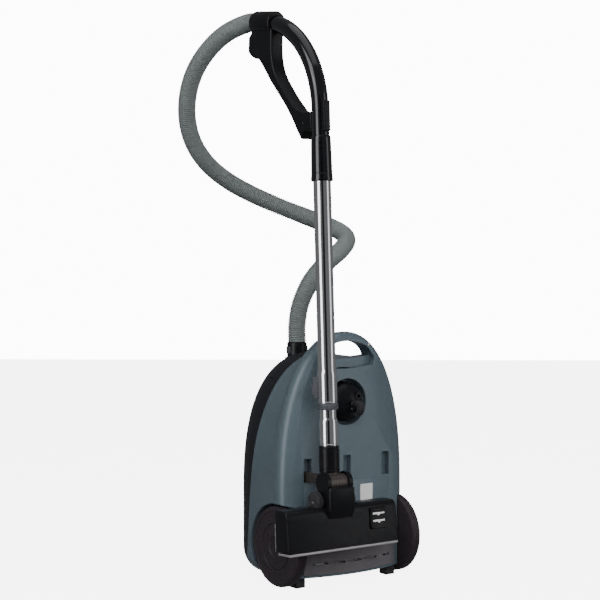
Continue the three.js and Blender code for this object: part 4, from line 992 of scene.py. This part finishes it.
    def housing(self) -> Shape:
        """The lower housing: shell, wells, slots, caster recess, handle and feet sockets."""
        w = self.wall
        tail_line = [*self.arc(0, self.tail_half), (self.tail_half, 40), (-self.tail_half, 40)]
        tail_room = [*self.arc(-w, self.tail_half - w), (self.tail_half - w, 41), (w - self.tail_half, 41)]
        solid = self.outer().carved(
            self.pushed_up(tail_line, self.bottom + 5, self.tail_top),
            Shape.block((-104, -2, self.tail_top - 1), (104, 2, 200), 0.8), operation="UNION")
        room = self.inner().carved(
            self.pushed_up(tail_room, self.bottom + 5 + w, self.tail_top - w), operation="UNION")
        bulkhead = Shape.block((-150, 0, 171), (150, 208, 174)).carved(
            Shape.block((6, 72, 165), (94, 128, 183)))
        keep = [bulkhead]
        take = []
        for side in (-1, 1):
            keep.append(self.well(side, self.wheel_radius + 5 + w, 27))
            take.append(self.well(side, self.wheel_radius + 5, 24))
            near, far = sorted((side * 111, side * 138))
            take.append(bar("x", self.wheel_y, self.wheel_z, near, far, 5.75, sides=32))
        keep.append(bar("y", 0, 355, -1, 29, 49, sides=128))
        take += [bar("y", 0, 355, -9, 26, 46, sides=128), bar("y", 0, 355, -9, 35, 6.35, sides=32)]
        for x in (-95, 0, 95):
            keep.append(Shape.block((x - 12, 0, 201), (x + 12, 16, 253)))
            take.append(Shape.block((x - 9, -9, 204), (x + 9, 13, 250)))
        take += [self.finger_hole(), self.finger_scoop()]
        take += [bar("y", x, 465, -9, 12, 3.55, sides=32) for x in (-55, 55)]
        take.append(Shape.block((-86, -40, 34), (86, 3, 82)))
        for x, y in ((110, 13), (100, 118)):
            for side in (-1, 1):
                at = side * x
                keep.append(Shape.block((at - 14.35, y - 14.35, 0), (at + 14.35, y + 14.35, 29)))
                take.append(Shape.block((at - 11.35, y - 11.35, -9), (at + 11.35, y + 11.35, 26)))
        hollow = room.carved(*keep)
        return solid.carved(hollow, *take, self.beyond_seam(-FIT / 2))

    def cover_shell(self) -> Shape:
        """The shell of all the dark covers in one."""
        return self.outer().carved(self.inner()).carved(self.beyond_seam(FIT / 2), operation="INTERSECT")

    def cover_between(self, low: float, high: float) -> Shape:
        """The part of the covers' shell between two heights."""
        return self.cover_shell().carved(Shape.block((-BEYOND, 0, low), (BEYOND, BEYOND, high)), operation="INTERSECT")

    def lug(self, low: Sequence[float], high: Sequence[float]) -> Shape:
        """A block that is trimmed to the outside of the casing."""
        return self.outer().carved(Shape.block((-300, -50, -50), (300, self.seam_at_floor - 40, 700))).carved(
            Shape.block(low, high), operation="INTERSECT")

    def tail_cover(self) -> Shape:
        """The cover of the motor room, with its buttons' holes and hinge ears."""
        z, y = self.lid_bottom, self.hinge_y
        cover = self.cover_between(0, z - self.gap)
        holes = [bar("y", x, 116, 170, 238, 21.6, sides=96) for x in (-58, 58)]
        holes += [bar("y", 0, 116, 170, 238, 15.6, sides=96), bar("y", -62, 50, 135, 238, 9.35, sides=48)]
        throat = bar("x", y, z, -102, 102, 15.6, sides=96).carved(
            Shape.block((-104, y - 16, z - 26), (104, 212, z + 14)), operation="INTERSECT")
        ears = self.lug((-42, y - 6, z - 24), (42, y + 9, z + 5)).carved(
            Shape.block((-34, y - 47, 100), (34, 238, 230)))
        return cover.carved(*holes, throat).carved(ears, operation="UNION").carved(
            bar("x", y, z, -60, 60, 2.675, sides=32))

    def lid(self) -> Shape:
        """The dust lid with its hinge knuckle and the latch's opening."""
        z, y = self.lid_bottom, self.hinge_y
        lid = self.cover_between(z, self.lid_top)
        arm = self.lug((-33.5, y - 6, z), (33.5, y + 9, z + 16))
        lid = lid.carved(bar("x", y, z, -33.5, 33.5, 6.5, sides=48), arm, operation="UNION")
        ends = bar("x", y, z, 33.6, 44, 15, sides=64).carved(
            Shape.block((34, y - 16, z - 1), (94, 238, z + 14)), operation="INTERSECT")
        return lid.carved(bar("x", y, z, -60, 60, 2.85, sides=32), ends,
                          bar("x", y, z, -44, -33.6, 15, sides=64),
                          Shape.block((-18, 154, 369), (18, 238, 387)))

    def nose(self) -> Shape:
        """The front cover with the round inlet."""
        z = self.lid_top + self.gap
        nose = self.cover_between(z, 600)
        nose = nose.carved(bar("z", 0, 170, z, 431, 25, sides=96), operation="UNION")
        return nose.carved(bar("z", 0, 170, 431, 491, 25, sides=96), bar("z", 0, 170, 300, 600, 18, sides=96))

    def grille(self) -> Shape:
        """The exhaust panel with its row of slots."""
        plan = [*self.arc(FIT + 3, 110), *self.arc(FIT, 110, back=True)]
        panel = self.pushed_up(plan, 26, 92)
        slots = [Shape.block((x - 16, -60, 45), (x + 16, 20, 49), 1.6) for x in (-78, -39, 0, 39, 78)]
        return panel.carved(*slots, Shape.block((-70, -60, 70), (-46, 20, 73), 1.2))

    def build(self) -> None:
        """Makes the casing's pieces."""
        rows: tuple[tuple[str, Callable[[], Shape], Finish, float], ...] = (
            ("lower_housing", self.housing, Finish.CASING_SLATE, 0.9),
            ("tail_cover", self.tail_cover, Finish.COVER_DARK, 0.6),
            ("dust_lid", self.lid, Finish.COVER_DARK, 0.6),
            ("nose_cover", self.nose, Finish.COVER_DARK, 0.6),
            ("exhaust_grille", self.grille, Finish.PANEL_GREY, 0.5))
        for node, make, finish, bevel in rows:
            Maker.stand_in(node, make().moved(HOME), finish, angle=28, bevel=bevel)


# ------------------------------------------------------------------ dust bag
@dataclass
class DustBag:
    """The fleece bag: a crowned, slack form with a welded seam and shallow folds."""

    squareness: float = 0.42
    folds: int = 9
    fold_depth: float = 0.0016
    seam_rise: float = 0.0022

    def build(self) -> None:
        """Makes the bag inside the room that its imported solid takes."""
        low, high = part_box("dust_bag")
        middle = (low + high) / 2
        half = (high - low) / 2 - Vector((1, 1, 1)) * self.seam_rise
        shape = Shape()
        bmesh.ops.create_uvsphere(shape.bm, u_segments=128, v_segments=72, radius=1.0)
        for vert in shape.bm.verts:
            flat = Vector([math.copysign(abs(c) ** self.squareness, c) for c in vert.co])
            fold = math.sin(vert.co.z * self.folds * math.pi) * (1 - abs(vert.co.z)) * self.fold_depth
            sag = math.sin(vert.co.x * 7 + vert.co.z * 4) * self.fold_depth * 0.8
            seam = self.seam_rise * math.exp(-(vert.co.y / 0.035) ** 2)
            out = vert.co.normalized()
            vert.co = middle + Vector([h * c for h, c in zip(half, flat)]) - out * (abs(fold) + abs(sag)) \
                + Vector((out.x, 0, out.z)) * seam
        bmesh.ops.recalc_face_normals(shape.bm, faces=shape.bm.faces)
        made = Maker.piece("dust_bag_fleece", shape, Finish.BAG_FLEECE, BODY_OF["dust_bag"],
                           ("dust_bag",), angle=80)


# ------------------------------------------------------------------ wheels and caster
@dataclass
class Wheels:
    """The two rear wheels. Sizes in millimetres."""

    radius: float = 78.6
    thickness: float = 22.0
    hole: float = 6.0
    y: float = 31.0
    z: float = 80.6
    half_width: float = 150.0

    def profile(self) -> list[tuple[float, float]]:
        """Half section of a wheel: tread, rounded shoulder, dished face with two steps."""
        r, t = self.radius, self.thickness
        rim = [(r - 7 + 7 * math.sin(i / 8 * math.pi / 2), t - 7 + 7 * math.cos(i / 8 * math.pi / 2))
               for i in range(9)]
        return [(self.hole, 0), (r - 5, 0), (r - 1.5, 1.2), (r, 5), (r, 9), (r - 0.7, 9.6), (r, 10.2),
                *rim[::-1], (r - 10, t - 0.1), (r - 11, t - 1.4), (r - 13, t - 1.6), (46, t - 0.9),
                (45, t - 2.2), (43.5, t - 2.2), (42.5, t - 0.8), (22, t - 0.4), (20.6, t - 1.6),
                (19, t - 2), (self.hole, t - 2)]

    def build(self) -> None:
        """Makes both wheels with a ring of small studs and notches."""
        for name, side in SIDES:
            wheel = Shape.spun(self.profile(), 128, closed=True)
            notches = []
            for i in range(6):
                turn = Matrix.Rotation(i * math.pi / 3 + 0.35, 4, "Z")
                notch = Shape.block((54, -3, self.thickness - 2.4), (60, 3, self.thickness + 2), 0.7)
                notches.append(notch.moved(turn))
            wheel = wheel.carved(*notches)
            studs = [bar("z", 33, 0, self.thickness - 2.5, self.thickness + 0.1, 2.6, 1.9, 24).moved(
                Matrix.Rotation(i * math.pi / 3, 4, "Z")) for i in range(6)]
            wheel = wheel.carved(*studs, operation="UNION")
            inner_face = side * (self.half_width - self.thickness)
            place = Matrix.Translation(Vector((inner_face, self.y, self.z)) * MM)
            wheel.moved(HOME @ place @ Matrix.Rotation(side * math.pi / 2, 4, "Y"))
            Maker.stand_in(f"wheel_{name}", wheel, Finish.WHEEL_DARK, angle=30)


@dataclass
class Caster:
    """The swivelling front caster in its round recess. Sizes in millimetres."""

    z: float = 355.0
    trail: float = 10.0
    axle_y: float = -32.6
    slot_half: float = 8.1

    def build(self) -> None:
        """Makes the dome with its fork and hub boss."""
        dome = Shape.spun([
            (0, -33.6), (6, -33.6), (6, -25.65), (39, -25.65), (39, -8), (38.4, -3.5), (36.6, 0.4),
            (33.5, 4.4), (29.6, 8), (25, 11.3), (20, 14.2), (14.5, 16.9), (8.5, 18.8), (4, 19.6), (0, 20)])
        dome.moved(Matrix.Translation((0, 0, self.z * MM)) @ Matrix.Rotation(math.pi / 2, 4, "X"))
        low = self.z - self.trail
        reach = self.slot_half + 5
        fork = bar("x", self.axle_y, low, -reach, reach, 7, sides=64)
        arm = Shape.block((-reach, self.axle_y, low - 7), (reach, 0, low + 7), 1.0)
        cap = bar("y", 14, self.z + 12, -19, 0, 7.5, sides=48)
        hub = bar("y", 14, self.z + 12, -20, -12, 3.6, sides=48)
        body = dome.carved(fork, arm, cap, operation="UNION").carved(
            bar("x", self.axle_y, low, -self.slot_half, self.slot_half, 17, sides=96),
            bar("x", self.axle_y, low, -30, 30, 2.7, sides=32), hub)
        Maker.stand_in("caster_dome", body.moved(HOME), Finish.TRIM_BLACK, angle=34, bevel=0.4)
        roller = Shape.spun([
            (2.9, -7.5), (13, -7.5), (14.6, -6.6), (15, -4.5), (15, 4.5), (14.6, 6.6), (13, 7.5), (2.9, 7.5)],
            closed=True)
        roller.moved(HOME @ Matrix.Translation((0, self.axle_y * MM, low * MM))
                     @ Matrix.Rotation(math.pi / 2, 4, "Y"))
        Maker.stand_in("caster_roller", roller, Finish.SOFT_RUBBER)


# ------------------------------------------------------------------ parked tool
@dataclass
class Tool:
    """Shared frame of the parked wand, handle and head."""

    lean: float = math.radians(2.6)
    origin: tuple[float, float, float] = (-95.0, -72.0, 215.0)

    def place(self) -> Matrix:
        """From the tool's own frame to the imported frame."""
        return HOME @ Matrix.Translation(Vector(self.origin) * MM) @ Matrix.Rotation(-self.lean, 4, "X")

    def make(self, node: str, shape: Shape, finish: Finish, angle: float = SHARP_DEGREES,
             bevel: float = 0.0) -> None:
        """Makes one piece that is drawn in the tool's own frame."""
        Maker.stand_in(node, shape.moved(self.place()), finish, angle, bevel)


@dataclass
class Wand(Tool):
    """Telescopic tubes, collar, lock slider and neck. Sizes in millimetres."""

    outer: float = 17.0
    inner: float = 15.9
    wall: float = 0.8
    sleeve: float = 18.8

    def build(self) -> None:
        """Makes the wand's pieces."""
        bore = self.outer - self.wall
        r, s = self.outer, self.sleeve
        upper = Shape.spun([
            (bore, 150), (s - 0.4, 150), (s, 150.6), (s, 152), (s - 0.5, 152.6), (s - 0.5, 153.6), (s, 154.2),
            (s, 204), (18.6, 206.5), (18.1, 209), (17.5, 211.5), (17.1, 213.6), (r, 216), (r, 603.6),
            (r - 0.4, 604), (bore, 604)], closed=True)
        self.make("wand_upper_tube", upper, Finish.TUBE_CHROME, angle=24)
        collar = Shape.spun([
            (16.25, 137.5), (19, 137.5), (19.7, 138), (20, 138.8), (20, 141.6), (19.4, 142.2), (19.4, 143.2),
            (20, 143.8), (20, 147.4), (19.6, 148.6), (18.8, 149.65), (16.25, 149.65)], closed=True)
        self.make("wand_collar", collar, Finish.FITTING_GREY, angle=24)
        hollow = self.inner - self.wall
        lower = Shape.spun([
            (hollow, 25), (self.inner, 25), (self.inner, 69.35), (17.8, 69.35), (18.2, 69.8), (18.2, 72),
            (17.7, 72.6), (17.7, 73.6), (18.2, 74.2), (18.2, 115), (18.0, 117), (17.2, 119.6), (16.3, 121.4),
            (self.inner, 123), (self.inner, 574.6), (hollow, 575)], 96, closed=True)
        self.make("wand_lower_tube", lower, Finish.TUBE_CHROME, angle=24)
        self.slider()
        self.neck()

    def slider(self) -> None:
        """Makes the lock slider with its thumb ribs."""
        seat = self.sleeve + FIT
        body = Shape.block((seat - 3, -7, 158), (seat + 8, 7, 200), 2.0)
        thumb = Shape.block((seat + 6, -6, 164), (seat + 11, 6, 184), 1.4)
        grooves = [Shape.block((seat + 10, -8, z), (seat + 13, 8, z + 1.2))
                   for z in (167, 170.4, 173.8, 177.2, 180.6)]
        made = body.carved(thumb, operation="UNION").carved(
            *grooves, bar("z", 0, 0, 100, 300, seat, sides=96))
        made.moved(self.place() @ Matrix.Rotation(math.radians(145), 4, "Z"))
        Maker.stand_in("lock_slider", made, Finish.FITTING_GREY, bevel=0.3)

    def neck(self) -> None:
        """Makes the black cuff and the brushed knuckle with its parking hook."""
        cuff = Shape.spun([
            (13, 19), (18.9, 19), (19.5, 19.6), (19.5, 24), (19.0, 24.6), (19.0, 26), (19.5, 26.6),
            (19.5, 62), (18.9, 63), (18.9, 64.2), (19.4, 65), (19.2, 67.6), (18.5, 69), (16.25, 69),
            (16.25, 24.5), (13, 24.5)], closed=True)
        self.make("neck_cuff", cuff, Finish.TRIM_BLACK, angle=26)
        knuckle = bar("x", -15, 0, -20, 20, 16, sides=96)
        grooves = []
        for x in (-13, -6.5, 0, 6.5, 13):
            ring = bar("x", -15, 0, x - 0.5, x + 0.5, 18, sides=96)
            grooves.append(ring.carved(bar("x", -15, 0, x - 2, x + 2, 15.5, sides=96)))
        knuckle = knuckle.carved(*grooves)
        leaning = bar("z", 0, 0, -12, 12, 15.5, 17, 96).moved(
            Matrix.Translation((0, -6 * MM, 5 * MM)) @ Matrix.Rotation(-math.pi / 4.6, 4, "X"))
        collar = bar("z", 0, 0, 9, 18.65, 18, sides=96)
        arm = Shape.block((-4.5, 8, -7), (4.5, 82, 13), 1.2)
        elbow = knuckle.carved(leaning, collar, arm, operation="UNION").carved(
            bar("z", 0, -5, -30, 30, 10.5, sides=64), Shape.block((-40, -40, 18.65), (40, 40, 59)))
        self.make("neck_elbow", elbow, Finish.KNUCKLE_BRUSHED, angle=30, bevel=0.4)


@dataclass
class Handle(Tool):
    """Handle tube, cuff, grip, hose socket and bleed slider. Sizes in millimetres."""

    radius: float = 16.5
    bore: float = 13.5
    bend: float = 190.0
    rise: float = 703.0
    bottom: float = 605.0
    angle: float = math.radians(82)
    run_out: float = 16.0

    def line(self, steps: int = 72) -> list[tuple[Vector, float]]:
        """Points along the tube with the angle turned there."""
        rows: list[tuple[Vector, float]] = [
            (Vector((0, 0, self.bottom + (self.rise - self.bottom) * i / 12)), 0.0) for i in range(12)]
        for i in range(steps + 1):
            a = self.angle * i / steps
            rows.append((Vector((0, self.bend * (1 - math.cos(a)), self.rise + self.bend * math.sin(a))), a))
        end, a = rows[-1]
        out = Vector((0, math.sin(a), math.cos(a)))
        rows += [(end + out * self.run_out * i / 4, a) for i in range(1, 5)]
        return rows

    def sweep(self, radius: float) -> Shape:
        """A solid rod along the tube's line."""
        rings = []
        for point, a in self.line():
            turn = Matrix.Rotation(-a, 3, "X")
            rings.append([point + turn @ Vector((radius * math.cos(t), radius * math.sin(t), 0))
                          for t in (i / 64 * 2 * math.pi for i in range(64))])
        return lofted(rings)

    def room(self) -> Shape:
        """The space that the handle tube takes, with its fit."""
        return self.sweep(self.radius + FIT)

    def end(self) -> Matrix:
        """The frame at the end of the bend, with +Y along the tube."""
        point = (0, self.bend * (1 - math.cos(self.angle)), self.rise + self.bend * math.sin(self.angle))
        return Matrix.Translation(Vector(point) * MM) @ Matrix.Rotation(math.pi / 2 - self.angle, 4, "X")

    def oval(self, grow: float, back: float, front: float, bevel: float) -> Shape:
        """The hose socket's oval block.

        Args:
            grow: how much larger it is all round.
            back: where it starts along the tube.
            front: where it ends.
            bevel: how far its rims are rounded.

        Returns:
            The block, in the tool's frame.
        """
        line = [((21.5 + grow) * math.cos(t), (23 + grow) * math.sin(t))
                for t in (i / 96 * 2 * math.pi for i in range(96))]
        return Shape.drawn(line, front - back, bevel, 4).moved(
            self.end() @ Matrix.Translation((0, back * MM, 0)))

    def grip_outline(self) -> list[tuple[float, float]]:
        """The grip seen from the side, as (y, z)."""
        q = curve_to
        return [(198, 884), (216, 868), (219, 840), *q((219, 840), (204, 822), (184, 822)),
                *q((184, 822), (160, 796), (146, 776)), (98, 724), *q((98, 724), (74, 696), (58, 668)),
                (46, 652), (38, 664), (10, 668), (10, 702), *q((10, 702), (40, 700), (56, 708)),
                *q((56, 708), (88, 736), (116, 772)), *q((116, 772), (140, 802), (136, 846)), (134, 884)]

    def build(self) -> None:
        """Makes the handle's pieces."""
        tube = self.sweep(self.radius).carved(
            self.sweep(self.bore), Shape.block((-4, -30, 683), (4, 0, 699), 1.5))
        self.make("handle_tube", tube, Finish.GLOSS_BLACK, angle=30)
        cuff = Shape.spun([
            (17.35, 569), (20.4, 569), (21, 569.8), (21.2, 572), (21, 575), (20.6, 578), (20.4, 581),
            (20.4, 583), (20.0, 583.6), (20.0, 585), (20.3, 585.6), (19.2, 643), (18.6, 651), (18, 654.4),
            (17.6, 655), (16.85, 655), (16.85, 605), (17.35, 605)], closed=True)
        self.make("handle_cuff", cuff, Finish.GLOSS_BLACK, angle=26)
        socket = self.oval(0, -28, 41, 3.0).carved(
            self.room(), bar("y", 0, 0, 15, 46, 16, sides=96).moved(self.end()))
        self.make("hose_socket", socket, Finish.TRIM_BLACK, angle=34)
        side = Matrix.Rotation(math.pi / 2, 4, "Z")
        grip = Shape.drawn(self.grip_outline(), 30, 7.0, 6).moved(side @ Matrix.Translation((0, -15 * MM, 0)))
        grip = grip.carved(self.room(), self.oval(FIT, -29, 50, 0.0),
                           bar("x", 38, 682, -20, 20, 2.6, sides=32))
        self.make("handle_grip", grip, Finish.TRIM_BLACK, angle=30)
        seat = self.radius + FIT
        slider = Shape.block((-7.5, -seat - 6, 662), (7.5, -seat + 3, 720), 2.4, 5)
        ribs = [Shape.block((-9, -seat - 8, z), (9, -seat - 5.2, z + 1.3)) for z in (683, 687, 691, 695, 699)]
        slider = slider.carved(*ribs, self.room())
        self.make("bleed_slider", slider, Finish.TRIM_BLACK, angle=34)


@dataclass
class FloorHead(Tool):
    """The tilting floor head. Sizes in millimetres, in the head's own frame."""

    offset: float = 6.0
    half: float = 128.0
    sole: float = 27.0
    face: float = -19.0
    top: float = -43.0
    bottom: float = -121.0
    hump: float = 29.0
    knuckle: float = -15.0
    pedal_x: float = 88.0
    pedal_z: float = -74.0
    pedal_half: float = 19.0

    def here(self) -> Matrix:
        """From the head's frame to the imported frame."""
        return self.place() @ Matrix.Translation((0, self.knuckle * MM, 0))

    @staticmethod
    def side_on(outline: Sequence[tuple[float, float]], low: float, high: float, bevel: float = 0.0) -> Shape:
        """An outline in (y, z) pushed along X.

        Args:
            outline: its corners in order.
            low: where it starts along X.
            high: where it ends.
            bevel: how far its rims are rounded.

        Returns:
            The slab, in the head's frame.
        """
        turn = Matrix(((0, 1, 0, low * MM), (1, 0, 0, 0), (0, 0, 1, 0), (0, 0, 0, 1)))
        return Shape.drawn(outline, high - low, bevel, 4).moved(turn)

    def section(self, inset: float) -> list[tuple[float, float]]:
        """Side section of the long body."""
        f, s, t, b = self.face, self.sole, self.top, self.bottom
        return [(s - 3 + inset, b + inset), (f + inset, b + inset), (f + inset, b + 12),
                (f + 3 + inset, t - 18),
                *curve_to((f + 3 + inset, t - 18), (f + 4 + inset, t - inset), (f + 18, t - inset)),
                (s - 3 + inset, t - inset)]

    def cover(self) -> Shape:
        """The cover: long body, hump, pedal pocket and wheel arches."""
        left, right = self.offset - self.half, self.offset + self.half
        f, t = self.face, self.top
        hump_line = [(f + 1, t - 22), (f - 6, t - 8), (f - 6, -10), (f - 2, -6), (14, -6), (14, t - 22)]
        solid = self.side_on(self.section(0), left, right, 2.2).carved(
            self.side_on(hump_line, -self.hump, self.hump, 3.5),
            bar("x", 0, 0, -self.hump, self.hump, 20, sides=96), operation="UNION")
        hollow = self.side_on(self.section(2.5), left + 2.5, right - 2.5)
        px, pz, ph = self.pedal_x, self.pedal_z, self.pedal_half
        pocket = ph + 1.2
        hollow = hollow.carved(
            Shape.block((px - pocket - 2, f - 1, pz - pocket - 2), (px + pocket + 2, -6, pz + pocket + 2)),
            self.side_on(hump_line, -self.hump, self.hump))
        take = [Shape.block((px - ph - 0.5, f - 9, pz - pocket), (px + ph + 0.5, -8, pz + pocket)),
                bar("x", 0, 0, -20.5, 20.5, 16.5, sides=96), Shape.block((-20.5, -50, -6), (20.5, 60, 60)),
                Shape.block((-20.5, 6, -40), (20.5, 60, 60)), Shape.block((-12, -12, t - 10), (12, 12, 0)),
                bar("x", self.knuckle, pz, px - ph - 2, px + ph + 2, 1.7, sides=24),
                bar("x", 11, -34, -38, 38, 3.2, sides=32)]
        for side in (-1, 1):
            near, far = sorted((side * self.hump, side * (self.hump + 18)))
            take.append(bar("x", 11, -34, near, far, 20.5, sides=96))
        return solid.carved(hollow, *take)

    def pedal(self) -> None:
        """Makes the rocking pedal with its two pale bars."""
        h = self.pedal_half
        pad = [(-6, -h), (-5.2, -h / 2), (-4.5, 0), (-5.2, h / 2), (-6, h), (3, h), (4, 0), (3, -h)]
        turn = self.here() @ Matrix.Translation((self.pedal_x * MM, self.knuckle * MM, self.pedal_z * MM)) \
            @ Matrix.Rotation(math.radians(-6), 4, "X")
        body = self.side_on(pad, -h, h, 1.2).carved(bar("x", 0, 0, -30, 30, 1.7, sides=24))
        Maker.stand_in("brush_pedal", body.moved(turn), Finish.TRIM_BLACK, angle=30)
        for number, z in enumerate((9.0, -5.0)):
            y = -4.5 - abs(z) / h * 1.5
            mark = Shape.block((-14, y - 0.7, z - 1.7), (14, y + 0.5, z + 1.7), 0.3)
            notch = Shape.block((-2.4, y - 0.7, z - 4.2), (2.4, y + 0.5, z - 0.8), 0.3)
            Maker.piece(f"pedal_mark_{number}", mark.carved(notch, operation="UNION").moved(turn),
                        Finish.MARK_WHITE, "pedal", angle=30)

    def build(self) -> None:
        """Makes the head's pieces."""
        Maker.stand_in("head_cover", self.cover().moved(self.here()), Finish.TRIM_BLACK, angle=30)
        left, right = self.offset - self.half + 1, self.offset + self.half - 1
        strip = Shape.block((left, self.face - 2, self.bottom - 5),
                            (right, self.sole - 8, self.bottom - FIT), 1.6, 4)
        Maker.stand_in("front_strip", strip.moved(self.here()), Finish.STRIP_SILVER)
        self.pedal()
        for name, side in SIDES:
            wheel = Shape.spun([
                (3.2, -7), (15, -7), (15.6, -6.2), (17.6, -6.2), (18.6, -5.4), (19, -4), (19, 4), (18.6, 5.4),
                (17.6, 6.2), (15.6, 6.2), (15, 7), (3.2, 7)], closed=True)
            place = Matrix.Translation(Vector((side * (self.hump + 8), 11, -34)) * MM)
            Maker.stand_in(f"head_wheel_{name}",
                           wheel.moved(self.here() @ place @ Matrix.Rotation(math.pi / 2, 4, "Y")),
                           Finish.SOFT_RUBBER)


# ------------------------------------------------------------------ whole cleaner
REFINED: dict[str, float] = {
    "power_button": 1.2, "rewind_button": 1.2, "suction_dial": 0.8, "lid_latch": 0.8, "cord_outlet": 0.5,
    "hose_cuff": 0.5, "cuff_button_left": 0.5, "cuff_button_right": 0.5, "sole_plate": 0.4,
    "foot_front_left": 1.0, "foot_front_right": 1.0, "foot_back_left": 1.0, "foot_back_right": 1.0,
}


def main() -> None:
    """Builds the studio and every sub-assembly in order."""
    logging.basicConfig(level=logging.INFO, format="%(message)s")
    studio = Studio()
    studio.camera()
    for part in (Hose(), studio, Casing(), DustBag(), Wheels(), Caster(), Wand(), Handle(), FloorHead()):
        part.build()
    for node, bevel in REFINED.items():
        Maker.refine(node, bevel=bevel)
    for node, shown in frame["nodes"].items():
        if not shown.hide_render:
            Maker.dress(node)


if __name__ == "__main__":
    main()
